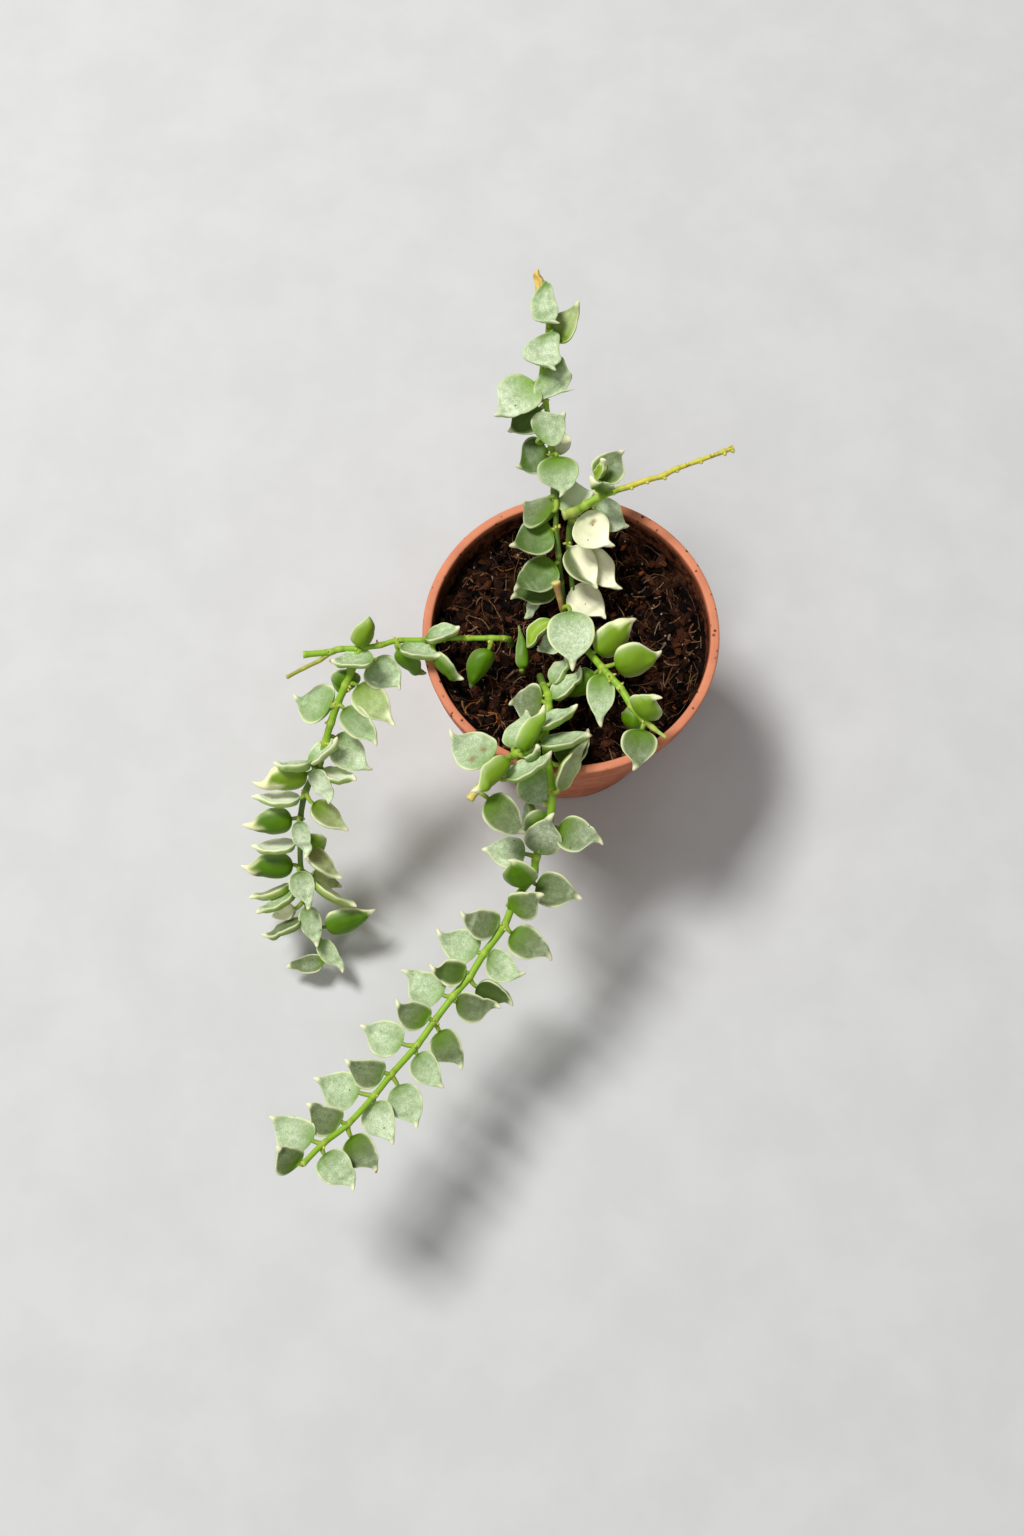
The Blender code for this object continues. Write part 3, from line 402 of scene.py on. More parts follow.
FRONT_BRANCH = Stem(
    route=(
        (-7.9, -30.5, 81), (-12.3, -36, 84), (-16.5, -38.7, 85.5), (-20, -41, 86),
        (-25.5, -46.8, 86.5), (-28.2, -50, 86.5), (-30.2, -52.8, 86.5),
    ),
    thick=(1.15, 1.1, 1.1, 1.15),
    bare=5,
    skin=STEM_CUT,
    leaves=(
        (0.8, (-9.2, -36, 1), (6, -33.1, 1), 9.2, "Pt", (0, 0.82, 0.7), -0.6, 0.5, 1),
        (1.8, (-14.2, -39.2, 2), (-9.5, -36.4, 4), 4.5, "G", LEFT_BACK),
        (2, (-15.4, -37.4, 1), (-8.2, -23.4, 4), 8.6, "P", (-0.85, 0.4, -0.35), -1, -0.4, 1.4),
        (2, (-17.4, -36.8, -1.5), (-13.6, -25, -3), 9.6, "P", (-0.4, 0.2, 0.9)),
        (3.5, (-19.2, -46.4, 1.5), (-6, -37.8, 2), 9, "P", (-0.4, 0.65, 0.75), -1, 0, 0.9),
        (3, (-23.6, -40, 0), (-36.3, -31, 0), 12.6, "Ps", UP, -1, 1.4),
        (2.8, (-19, -40.4, 3.8), (-29.9, -50.4, 1.5), 7.6, "L", (-0.5, 0.6, -0.55), -1, 0, 1.2, 0.48),
        (5, (-24.8, -52.5, -0.5), (-13.8, -63.2, -5), 10.4, "Mb", UP, 1.4, -0.6),
    ),
)

LEFT_TRAIL = Stem(
    root=(-18.2, -0.9),
    route=(
        (-18.7, -2.6, 74.5), (-20.4, -2.3, 77), (-24, -2.2, 77.8), (-31, -2.2, 77.6),
        (-38, -2.2, 77.4), (-43.5, -2.8, 77.4), (-52.2, -3, 78), (-57.6, -4.5, 78.2),
        (-63.5, -5.4, 78.2), (-69.9, -5.8, 78.2), (-72.5, -6.7, 78.3), (-80.5, -7.5, 79),
    ),
    thick=(1.15, 0.95, 0.85, 0.85, 0.9, 1.05),
    leaves=(
        (2, (-24.8, -5.9, -1.5), (-30.2, -18.3, -6), 7.2, "Gn", OVER, -1, 1),
        (4.5, (-40.6, -7.2, 1), (-32.2, -15.5, -1.5), 8.4, "G", (0.5, 0.7, -0.1)),
        (5, (-43.6, -2.2, 2.4), (-33.5, 1.5, 3.5), 9.2, "P", (0, 0.65, 0.8), -1, 1, 1),
        (6, (-52, -5.8, -1), (-43.4, -13.6, -6), 9.6, "Gn", RIGHT_AWAY),
        (6, (-51.2, -4.9, 1.5), (-38.8, -7.7, 2), 9.2, "P", (0, 0.72, 0.75), -1, 0.6, 1),
        (8, (-64, -4.4, 1), (-61, 4.9, 7), 6.8, "Lr", AWAY),
    ),
)

LEFT_STUB = Stem(
    route=((-71.8, -6.6, 78.2), (-75.6, -9.4, 77.5), (-80.1, -11.8, 76.5), (-85.1, -14.7, 75)),
    thick=(0.7, 0.65, 0.6),
    bare=0,
    skin=rgb(160, 158, 44),
    cut=STEM_BROWN,
)

LEFT_BRANCH = Stem(
    route=(
        (-63.5, -5.4, 78.2), (-65.2, -10.5, 76.8), (-67.5, -17.2, 74), (-69.8, -23.2, 70.5),
        (-71.5, -29, 67), (-73, -35, 63), (-74.5, -42, 58), (-78.2, -50, 51.5),
        (-79.5, -58.3, 44.5), (-79.3, -66, 37), (-78.8, -73.8, 29.5), (-76.5, -85.3, 20),
        (-72.5, -95.2, 12.5), (-72, -99.3, 10),
    ),
    thick=(1.25, 1.2, 1.05, 0.9, 0.75),
    deep=(5.4, TO_END),
    leaves=(
        (0.8, (-59.4, -9.2, 3.4), (-72.7, -9.4, 0.5), 9.4, "Pt", (0, 0.6, 0.8), -1, -1.2, 1),
        (1.2, (-67, -12.6, -1), (-68.6, -19, -8), 9, "G", AWAY),
        (1, (-60.4, -10.2, -2), (-51.2, -18.8, -3), 11.4, "P", UP, -1, 0.4),
        (2, (-64, -17.4, 0), (-52.6, -30.1, -4), 10.6, "Lecpw"),
        (3, (-71.8, -24, 0), (-83, -20, -4), 13.8, "Pd", UP, -1, 0.5),
        (3, (-67.8, -24.6, 0.5), (-57.8, -36.4, -3), 9.4, "Ped", (-0.7, 0.2, 0.75)),
        (5, (-70.4, -33.6, -1), (-58.8, -43.7, -4), 10.6, "P", UP, -1, -1),
        (6, (-77.6, -41, 2.6), (-69.4, -33.5, 6), 9.2, "Pwe", (-0.55, 0.5, 0.7), -1, 0.6, 1),
        (6, (-77, -41.4, 4), (-88.3, -41.5, 1), 8.5, "Pp", (0, 0.92, 0.45), -1, 0, 0.4),
        (6, (-78.2, -44.9, -0.5), (-94.2, -47.3, -2), 9.4, "Lck", OVER),
        (6, (-73.2, -43.6, -0.5), (-63.5, -47, 1), 8.2, "W", (0.15, 0.75, 0.7), -1, 0, 0.6),
        (6.2, (-76, -43.6, 3.5), (-71.4, -54.2, -4), 6.6, "Prpw", (-0.5, 0.1, 0.85)),
        (7, (-80, -52.3, 0), (-94.2, -51.9, 1), 8.8, "Ww", (0, 0.76, 0.66), -1, 0, 0.6),
        (7, (-76, -54, 0), (-65.4, -62.3, -3), 9, "Oeb", (0.3, 0.35, 0.85)),
        (8, (-82, -58.6, 0), (-96.4, -60.4, -1), 9.4, "Gc", OVER),
        (8, (-80, -59.4, 2.5), (-77.8, -70.6, -5), 5.8, "Ppw"),
        (8.6, (-77.2, -63.5, -2), (-72.2, -66.5, -9), 8, "P", AWAY),
        (9, (-80.8, -66.2, 0), (-93.6, -66.8, 1), 8.8, "Ww", (0, 0.76, 0.66), -1, 0, 0.6),
        (9, (-76.8, -67.6, 0), (-66.8, -76.5, -3), 8.6, "Oe", (0.45, 0.5, 0.7)),
        (10, (-81.2, -72.4, 0), (-96.3, -72.6, -1), 9.6, "Gc", OVER),
        (10, (-79.4, -74.4, 2.5), (-76.4, -86.1, -5), 8, "Ptp"),
        (10, (-75.6, -75.6, -3), (-66.8, -79, -7), 8, "O"),
        (10.3, (-74.4, -77.4, 1), (-62.3, -84.8, -2), 8.5, "O", RIGHT_BACK),
        (10.4, (-82.6, -78.4, -2), (-93.5, -82.2, -5), 7, "O", BACK),
        (10.6, (-80.6, -80, 0.5), (-91.4, -86.8, 0), 9, "P", LEFT_BACK),
        (10.7, (-80.6, -85.6, -2), (-86.8, -87.4, -4), 5.5, "C"),
        (11, (-76.8, -84.8, 2.5), (-73.4, -96.6, -4), 7),
        (11, (-78.2, -88.4, 0), (-89.6, -92.8, 0), 8.5, "M", LEFT_BACK),
        (11.3, (-71, -90.6, -1), (-56.9, -85.7, 2), 9.6, "Ge", OVER),
        (12, (-72.6, -94.8, 2), (-65.8, -104, -3), 5.8),
        (13, (-71.6, -100.8, -0.5), (-82, -102.4, -1), 6.2, "M"),
    ),
)

LEFT_SPROUT = Stem(
    root=(-14.4, -9.6),
    route=((-14.8, -12.6, 71), (-14.9, -12.4, 73.5)),
    thick=(0.9, 0.75),
    leaves=(
        (1, (-14.8, -12, 0.8), (-15.8, 1.9, 2), 4.4, "Gnf", (-0.7, 0.3, -0.7), -0.4, 0, 0.3, 0.3),
    ),
)

PLANTS = {
    "stem_back": (BACK_STEM,),
    "stem_cream": (CREAM_STEM, CREAM_STUB),
    "stem_right": (RIGHT_STEM, RIGHT_STUB),
    "trail_front": (FRONT_TRAIL, FRONT_BRANCH),
    "trail_left": (LEFT_TRAIL, LEFT_STUB, LEFT_BRANCH),
    "sprout_left": (LEFT_SPROUT,),
}


def smooth(low, high, value):
    """Rise smoothly from 0 at low to 1 at high."""
    share = min(max((value - low) / (high - low), 0), 1)
    return share * share * (3 - 2 * share)


def bell(value, width):
    """Fall smoothly from 1 at 0 to about a third at width."""
    return exp(-((value / width) ** 2))


def curve(start, corner, end, share):
    """Return a place on the curve from start to end that leans towards a corner."""
    return start.lerp(corner, share).lerp(corner.lerp(end, share), share)


def spread(values, share):
    """Return the value at a share of the way through evenly spaced values."""
    place = min(max(share, 0), 1) * (len(values) - 1)
    number = min(int(place), len(values) - 2)
    return values[number] + (values[number + 1] - values[number]) * (place - number)


def along(points, place):
    """Return the point at a place on the smooth curve through points, counted in points."""
    last = len(points) - 1
    place = min(max(place, 0), last)
    number = min(int(place), last - 1)
    share = place - number
    start, end = points[number], points[number + 1]
    before = points[number - 1] if number > 0 else start * 2 - end
    after = points[number + 2] if number + 2 <= last else end * 2 - start
    return (
        start
        + (end - before) * (share / 2)
        + (before * 2 - start * 5 + end * 4 - after) * (share ** 2 / 2)
        + (start * 3 - before - end * 3 + after) * (share ** 3 / 2)
    )


def turns(count):
    """Return even turns round a circle."""
    return [2 * pi * number / count for number in range(count)]


def circle(radius, count):
    """Return (x, y) places round the pot's axis."""
    return [(radius * cos(turn), radius * sin(turn)) for turn in turns(count)]


def ring(centre, side, up, radius, count):
    """Return points on a circle round a centre."""
    return [centre + (side * cos(turn) + up * sin(turn)) * radius for turn in turns(count)]


def link(name, data):
    """Add an object to the scene."""
    piece = bpy.data.objects.new(name, data)
    bpy.context.scene.collection.objects.link(piece)
    return piece


def solid(name, work):
    """Add an object with the shape of a finished bmesh to the scene."""
    mesh = bpy.data.meshes.new(name)
    work.to_mesh(mesh)
    work.free()
    return link(name, mesh)


class Shell:
    """Points in millimetres with a tint each, and the faces between them."""

    def __init__(self):
        self.points, self.faces, self.tints = [], [], []

    def add(self, points, faces, tint):
        """Add points with one tint and the faces between them."""
        first = len(self.points)
        self.points.extend(points)
        self.tints.extend([tint] * len(points))
        self.faces.extend([tuple(first + number for number in face) for face in faces])

    def loft(self, rings, tints):
        """Add a closed skin through rings of points: a fan closes each end."""
        first, count = len(self.points), len(rings[0])
        for points, point_tints in zip(rings, tints):
            self.points.extend(points)
            self.tints.extend(point_tints)
        for row in range(len(rings) - 1):
            for number in range(count):
                here, there = first + row * count + number, first + row * count + (number + 1) % count
                self.faces.append((here, there, there + count, here + count))
        for row in (0, len(rings) - 1):
            start, centre = first + row * count, len(self.points)
            self.points.append(sum(rings[row], Vector()) / count)
            self.tints.append(tints[row][0])
            for number in range(count):
                self.faces.append((start + number, start + (number + 1) % count, centre))

    def piece(self, name, material, node, slot, smooth_skin=True):
        """Make the object that stands for a CAD node."""
        mesh = bpy.data.meshes.new(name)
        mesh.from_pydata([point * MM for point in self.points], [], self.faces)
        work = bmesh.new()
        work.from_mesh(mesh)
        bmesh.ops.recalc_face_normals(work, faces=work.faces)
        work.to_mesh(mesh)
        work.free()
        tint = mesh.attributes.new("tint", "FLOAT_COLOR", "POINT")
        tint.data.foreach_set("color", [value for colour in self.tints for value in colour])
        if smooth_skin:
            mesh.shade_smooth()
        mesh.materials.append(material)
        piece = link(name, mesh)
        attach(piece, "root")
        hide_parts(node)


def seen(x, y, z):
    """Slide a place in the rim's plane along its line of sight from the eye to height z."""
    rim_point = Vector((x, y, POT_HEIGHT))
    share = (EYE.z - z) / (EYE.z - POT_HEIGHT)
    return EYE + (rim_point - EYE) * share


def inner_radius(height):
    """Return the radius of the pot's inner wall, which tapers from under the rim to the floor."""
    bottom = BASE_RADIUS - WALL
    share = (height - POT_FLOOR) / (COLLAR_FOOT - POT_FLOOR)
    return bottom + (INNER_RADIUS - bottom) * min(share, 1.0)


def route_points(stem):
    """Return a stem's route as points, and how many stand in front of its first route point."""
    points = [seen(*place) for place in stem.route]
    if stem.root is None:
        return points, 0
    x, y = stem.root
    return [Vector((x, y, SOIL_TOP + height)) for height in STEM_FOOT] + points, len(STEM_FOOT)


def add_tube(shell, centres, radii, tints, count):
    """Add a closed round tube through centres."""
    side = Vector((1, 0, 0))
    if abs((centres[1] - centres[0]).normalized().x) > 0.9:
        side = Vector((0, 0, 1))
    rings = []
    for number, centre in enumerate(centres):
        before, after = centres[max(number - 1, 0)], centres[min(number + 1, len(centres) - 1)]
        ahead = (after - before).normalized()
        side = (side - ahead * side.dot(ahead)).normalized()
        rings.append(ring(centre, side, ahead.cross(side), radii[number], count))
    shell.loft(rings, [[tint] * count for tint in tints])


def add_stem(shell, stem, dice):
    """Add a stem that swells at its nodes and is cut across, with its buds and its leaf scars."""
    points, first = route_points(stem)
    last = len(points) - 1
    places = []
    for number in range(last):
        rows = max(2, round((points[number + 1] - points[number]).length / STEM_STEP))
        places += [number + row / rows for row in range(rows)]
    places.append(last)
    centres = [along(points, place) for place in places]
    radii, tints = [], []
    for place, centre in zip(places, centres):
        nearest = round(place)
        gap = (centre - points[nearest]).length
        node = bell(gap, NODE_LENGTH) if nearest >= first else 0
        radius = spread(stem.thick, place / last)
        if place >= first:
            radius *= BETWEEN_NODES + NODE_SWELL * node
        # A darker ring beside each node paints the shade of a crease
        crease_shade = bell(gap - 1.3, 0.3) if nearest >= first else 0
        bare = smooth(stem.bare - 1, stem.bare, place - first)
        # The stem is painted darker green over this part of its route: painted shade, near the foot also
        # older skin
        deep = smooth(-0.6, 0.6, place - first - stem.deep[0])
        deep *= smooth(-0.6, 0.6, stem.deep[1] - place + first)
        colour = STEM_GREEN.lerp(STEM_SHADE, 0.9 * deep).lerp(stem.skin, bare)
        colour = colour * (1 + 0.16 * noise(centre / 4)) * (1 - 0.3 * crease_shade)
        colour = colour.lerp(NODE_PALE, 0.15 * node + 0.3 * bell(gap, 0.4) * (node > 0))
        radii.append(radius)
        tints.append((*colour, 0.04))
    centres.append(centres[-1] + (centres[-1] - centres[-2]).normalized() * 0.15)
    radii.append(radii[-1] * 0.8)
    tints.append((*stem.cut, 0.2))
    add_tube(shell, centres, radii, tints, STEM_SIDES)
    if stem.bare < len(stem.route) - SCARRED_POINTS:
        add_scars(shell, points, last - 0.2, radii[-2] + 0.3, stem.skin, dice)
        for number in range(stem.bare, len(stem.route) - 1):
            add_scars(shell, points, first + number, radii[-2], stem.skin, dice)
            if (points[first + number + 1] - points[first + number]).length > SCARRED_GAP:
                add_scars(shell, points, first + number + 0.5, radii[-2], stem.skin, dice)
    for number in range(1, min(stem.bare, len(stem.route) - 1)):
        if dice.random() < BUD_SHARE:
            radius = spread(stem.thick, (first + number) / last)
            crowded = stem.deep[0] == FROM_FOOT and number < stem.deep[1]
            add_buds(shell, points, first + number, radius, dice, CROWDED_BUDS if crowded else BUDS)


def axes(points, place):
    """Return the directions ahead, sideways and up at a place on a curve."""
    ahead = (along(points, place + 0.1) - along(points, place - 0.1)).normalized()
    side = ahead.cross(Vector(UP)).normalized()
    return ahead, side, side.cross(ahead)


def add_buds(shell, points, number, radius, dice, counts):
    """Add the small scales and dry buds that stand round a leafy node, within the counts given."""
    ahead, side, up = axes(points, number)
    for _ in range(dice.randint(*counts)):
        turn = dice.uniform(0, pi)
        out = side * cos(turn) + up * sin(turn)
        foot = points[number] + ahead * dice.uniform(-0.5, 0.7) + out * radius * 0.7
        head = foot + (out + ahead * dice.uniform(-0.2, 1.0)).normalized() * dice.uniform(0.7, 1.5)
        young = NODE_PALE.lerp(STEM_BARE, dice.random())
        tip = young if dice.random() < 0.5 else DRY
        tints = [(*young, 0.1), (*young, 0.1), (*tip, 0.1)]
        add_tube(shell, [foot, foot.lerp(head, 0.6), head], BUD_RADII, tints, BUD_SIDES)


def add_scars(shell, points, place, radius, colour, dice):
    """Add the two short stubs that fallen leaves left at a bare node, or halfway between two."""
    ahead, side, up = axes(points, place)
    turn = place * 2 % 2 * pi / 2 + dice.uniform(-0.5, 0.5)
    centre = along(points, place)
    for sign in (1, -1):
        out = (side * cos(turn) + up * sin(turn)) * sign
        foot = centre + out * radius * 0.4 + ahead * dice.uniform(-0.3, 0.5)
        head = foot + out * (radius * 0.6 + dice.uniform(0.1, 0.75)) + ahead * dice.uniform(0.1, 0.6)
        tints = [(*colour, 0.1)] * 2 + [(*colour.lerp(STEM_CUT, 0.4), 0.2)] * 2
        centres = [foot.lerp(head, share) for share in SCAR_PLACES]
        add_tube(shell, centres, SCAR_RADII, tints, SCAR_SIDES)


def outline(share, widest, end, flank):
    """Return a blade's half width, from 0 to 1: round at the base, nothing from the tip's foot on."""
    if share < widest:
        return (1 - (1 - share / widest) ** BASE_ROUNDNESS) ** 0.5
    return 1 - min((share - widest) / (end - widest), 1) ** flank


def blade_tint(look, share, across, upper, grain, margin):
    """Return the colour of a place on a blade, with the share of it that frosting covers."""
    kind, face = look[0], 0 if upper else 1
    colour = TONES[kind][face].copy()
    frost = FROST[kind][face]
    patch = noise(grain + Vector((share * 2.6, across * 1.5, 9 * face)))
    streak = noise(grain + Vector((share * 0.9, across * 5.5, 4 + 9 * face)))
    colour *= 1 + 0.18 * patch + 0.14 * streak
    rim = abs(across)
    if "h" in look:
        half = smooth(0.2, 0.5, across + 0.3 * patch)
        colour = colour.lerp(TONES["M"][0], 0.95 * half)
        frost += 0.04 * half
    if "c" in look:
        start = 0.44 if "k" in look else 0.62
        start -= 0.3 * patch + 0.1 * streak
        colour = colour.lerp(TONES["C"][face], 0.9 * smooth(start, start + 0.26, share))
    if "v" in look:
        half = smooth(-0.1, 0.2, -across)
        colour = colour.lerp(TONES["G"][1], half)
        frost *= 1 - half
    # p and w add frosting, partly to paint light onto leaves that lie in shade
    for flag, step in FROST_STEPS:
        if flag in look:
            frost += step
    reach, strength = (0.36, 1.0) if "b" in look else (0.16, 0.7)
    green = strength * bell(share, reach) * (1 - 0.2 * rim)
    frost *= (1 - green) * (1 + 0.3 * patch + 0.2 * streak) * (0.8 + 0.25 * smooth(0.1, 0.5, share))
    base = LEAF_BASE.lerp(TONES["G"][1], 0.6 if kind in "MG" else 0)
    colour = colour.lerp(base, 0.9 * green if kind != "C" else 0.4 * green)
    colour = colour.lerp(LEAF_BASE, 0.2 * (bell(across, 0.06) * (1 - share)))
    if upper:
        edge = smooth(0.68 if "e" in look else 0.86 if kind == "G" else 0.8, 0.96, rim)
    else:
        # The soft pale band over the lower face's outer part is a painted highlight
        edge = max(smooth(0.8 if "e" in look else 0.95, 1.0, rim), 0.3 * smooth(0.55, 1.0, rim))
    edge *= margin * (0.35 + 0.65 * smooth(0.02, 0.16, share))
    if "n" in look:
        edge *= 0.3
    colour = colour.lerp(MARGIN, (1.0 if "e" in look else 0.85) * edge)
    end = smooth(0.81, 0.92, share) * (0.15 if "r" in look or "n" in look else 1)
    end *= 0.4 + 0.6 * margin
    colour = colour.lerp(LEAF_TIP, 0.92 * end)
    frost *= (1 - edge) * (1 - end)
    if "t" in look:
        colour = colour.lerp(DRY, 0.9 * smooth(0.93, 0.98, share))
    if "s" in look and upper:
        for place, offset in SPOTS[1:] if kind == "C" else SPOTS:
            gap = hypot((share - place) * 2.2, across - offset)
            spot = 0.9 * (1 - smooth(0.06, 0.18, gap))
            colour = colour.lerp(DRY, spot)
            frost *= 1 - spot
    return (*colour, frost)


def add_leaf(shell, stem, leaf, dice):
    """Add a leaf as one skin: a curved stalk that spreads into a thick pointed blade."""
    points, first = route_points(stem)
    start = along(points, leaf.at + first)
    base = seen(leaf.base[0], leaf.base[1], start.z + leaf.base[2])
    tip = seen(leaf.tip[0], leaf.tip[1], base.z + leaf.tip[2])
    run = (tip - base).normalized()
    face = Vector(leaf.face)
    normal = (face - run * face.dot(run)).normalized()
    side = run.cross(normal)
    cup = -CUP_PER_ARCH * leaf.arch if leaf.cup is None else leaf.cup
    curl, hook = dice.uniform(-0.5, 1.0), dice.uniform(-1.3, 1.3)
    twist = dice.uniform(-0.14, 0.14)
    waves, wave_start, wave_height = dice.uniform(2, 4), dice.uniform(0, 6), dice.uniform(0.05, 0.2)
    widest = (WIDEST if leaf.widest is None else leaf.widest) + dice.uniform(-0.03, 0.04)
    end = max(BLADE_END + dice.uniform(-0.03, 0.03), widest + 0.25)
    if "r" in leaf.look:
        end = 1.0
    grain = Vector([dice.uniform(0, 40) for _ in range(3)])
    rings, tints = [], []
    for row in range(BLADE_ROWS + 1):
        share = (1 - cos(pi * row / BLADE_ROWS)) / 2
        breadth = outline(share, widest, end, SLENDER_FLANK if "f" in leaf.look else FLANK)
        end_radius = STALK_END_RADIUS + (TIP_RADIUS - STALK_END_RADIUS) * share
        if "r" not in leaf.look and "f" not in leaf.look:
            end_radius += TIP_FOOT * smooth(0.6, 0.84, share) * min((1 - share) / 0.16, 1)
        end_radius *= sqrt(max(1 - (max(share - (1 - TIP_ROUND), 0) / TIP_ROUND) ** 2, 0.02))
        half = hypot(breadth * leaf.width / 2, end_radius)
        thick = hypot(LEAF_THICKNESS * breadth ** 0.5, 2 * end_radius)
        fullness = min(1, 1.6 * breadth)
        over = (0.5 + (UPPER_SHARE - 0.5) * fullness) * thick
        under = thick - over
        swing = 4 * share * (1 - share)
        bend = max(0, (share - CURL_START) * (1 - share) / CURL_PEAK)
        middle = base + (tip - base) * share
        middle += normal * (ARCH_SHARE * leaf.arch * swing - curl * bend)
        middle -= side * (leaf.bow * swing - hook * bend)
        turned = twist * (share - 0.4)
        across_axis = side * cos(turned) + normal * sin(turned)
        up_axis = normal * cos(turned) - side * sin(turned)
        rings.append([])
        tints.append([])
        for turn in turns(BLADE_SIDES):
            across, lift = cos(turn), sin(turn)
            rise = cup * breadth * (0.15 + 0.85 * across ** 2)
            rise -= over * (1 - across ** 2) * fullness
            rise += (over if lift > 0 else under) * lift
            wavy = sin(waves * 2 * pi * share + wave_start + across)
            rise += wave_height * wavy * across ** 4 * breadth
            pucker = noise(grain + Vector((share * 5, across * 2.6, 0)))
            rise += 0.16 * pucker * breadth * (1 - across ** 4)
            if lift > 0:
                rise -= 0.14 * bell(across, 0.12) * breadth * (1 - share)
            rings[-1].append(middle + across_axis * half * across + up_axis * rise)
            tints[-1].append(blade_tint(leaf.look, share, across, lift > 0, grain, stem.margin))

    bend_point = base - run * (start - base).length * 0.5
    for row in reversed(range(STALK_ROWS)):
        share = row / STALK_ROWS
        ahead = (bend_point - start).lerp(base - bend_point, share).normalized()
        swivel = run.rotation_difference(ahead)
        side, normal, run = swivel @ side, swivel @ normal, ahead
        radius = STALK_RADIUS + (STALK_END_RADIUS - STALK_RADIUS) * share
        rings.insert(0, ring(curve(start, bend_point, base, share), side, normal, radius, BLADE_SIDES))
        tints.insert(0, [(*STALK_GREEN.lerp(LEAF_BASE, share ** 2), 0.04)] * BLADE_SIDES)
    shell.loft(rings, tints)


def build_plants(skin):
    """Make each leafy stem as one piece."""
    for name, stems in PLANTS.items():
        shell = Shell()
        for stem_number, stem in enumerate(stems):
            dice = random.Random(f"{name} {stem_number}")
            add_stem(shell, stem, dice)
            for number, row in enumerate(stem.leaves):
                add_leaf(shell, stem, Leaf(*row), random.Random(f"{name} {stem_number} {number}"))
        shell.piece(f"{name}_plant", skin, name, "leaf")


def crumbly(x, y):
    """Return the height of the potting mix with its crumbs."""
    place = Vector((x, y, 0))
    humps = noise(Vector((x / HUMP_SIZE, y / HUMP_SIZE, 0.3)))
    lumps = LUMP_SHARE * noise(Vector((x / LUMP_SIZE, y / LUMP_SIZE, 5.1)))
    crumbs = CRUMB_HEIGHT * noise(place / CRUMB_SIZE)
    crumbs += SMALL_CRUMB_HEIGHT * noise(place / SMALL_CRUMB_SIZE)
    grit = GRIT_HEIGHT * abs(noise(place / GRIT_SIZE))
    return SOIL_TOP + HUMP_HEIGHT * (humps + lumps) + crumbs + grit - CRUMB_SINK


def soil_tint(place):
    """Return the colour of a place on the potting mix."""
    wet = noise(place / 6)
    colour = SOIL_DARK.lerp(SOIL_BROWN, smooth(-0.25, 0.55, wet + 0.6 * noise(place / 1.3)))
    return (*colour, 1.0)


def add_ground(shell):
    """Add the closed body of the potting mix."""
    edge = inner_radius(SOIL_TOP) - SOIL_GAP
    low_edge = inner_radius(SOIL_BOTTOM) - SOIL_GAP
    rings = []
    for number in range(1, SOIL_RINGS + 1):
        places = circle(edge * number / SOIL_RINGS, SOIL_SIDES)
        rings.append([Vector((x, y, crumbly(x, y))) for x, y in places])
    rings.append([Vector((x, y, SOIL_BOTTOM)) for x, y in circle(low_edge, SOIL_SIDES)])
    shell.loft(rings, [[soil_tint(point) for point in points] for points in rings])


def add_chip(shell, dice, sphere, sizes, colour):
    """Add one angular crumb of bark or one grain, half sunk in the mix."""
    radius = (inner_radius(SOIL_TOP) - CHIP_MARGIN) * sqrt(dice.random())
    turn = dice.uniform(0, 2 * pi)
    x, y = radius * cos(turn), radius * sin(turn)
    heading, tilt = dice.uniform(0, pi), dice.gauss(0, 0.45)
    long, wide, thick = sizes
    ahead = Vector((cos(heading) * cos(tilt), sin(heading) * cos(tilt), sin(tilt)))
    side = Vector((-sin(heading), cos(heading), dice.gauss(0, 0.3))).normalized()
    up = ahead.cross(side)
    centre = Vector((x, y, crumbly(x, y) + thick * 0.25))
    points = []
    for a, b, c in sphere[0]:
        jag = dice.uniform(0.7, 1.25)
        points.append(centre + (ahead * a * long + side * b * wide + up * c * thick) * (jag / 2))
    shell.add(points, sphere[1], (*colour, 1.0))


def add_fibre(shell, dice, length, radius, foot, colour):
    """Add one curved fibre that lies on the mix, with its foot as many times as thick as its head."""
    edge = inner_radius(SOIL_TOP) - FIBRE_MARGIN
    turn, reach = dice.uniform(0, 2 * pi), edge * sqrt(dice.random())
    place = Vector((reach * cos(turn), reach * sin(turn), 0))
    heading, bend = dice.uniform(0, 2 * pi), dice.gauss(0, 0.16)
    centres = []
    for step in range(FIBRE_STEPS + 1):
        height = 0.25 + 0.8 * sin(pi * step / FIBRE_STEPS) * dice.random()
        centres.append(Vector((place.x, place.y, crumbly(place.x, place.y) + height)))
        heading += bend
        place += Vector((cos(heading), sin(heading), 0)) * (length / FIBRE_STEPS)
        if place.length > edge:
            place *= edge / place.length
    radii = [radius * (foot + (1 - foot) * step / FIBRE_STEPS) for step in range(FIBRE_STEPS + 1)]
    radii[0] *= 0.6
    add_tube(shell, centres, radii, [(*colour, 1.0)] * len(radii), FIBRE_SIDES)


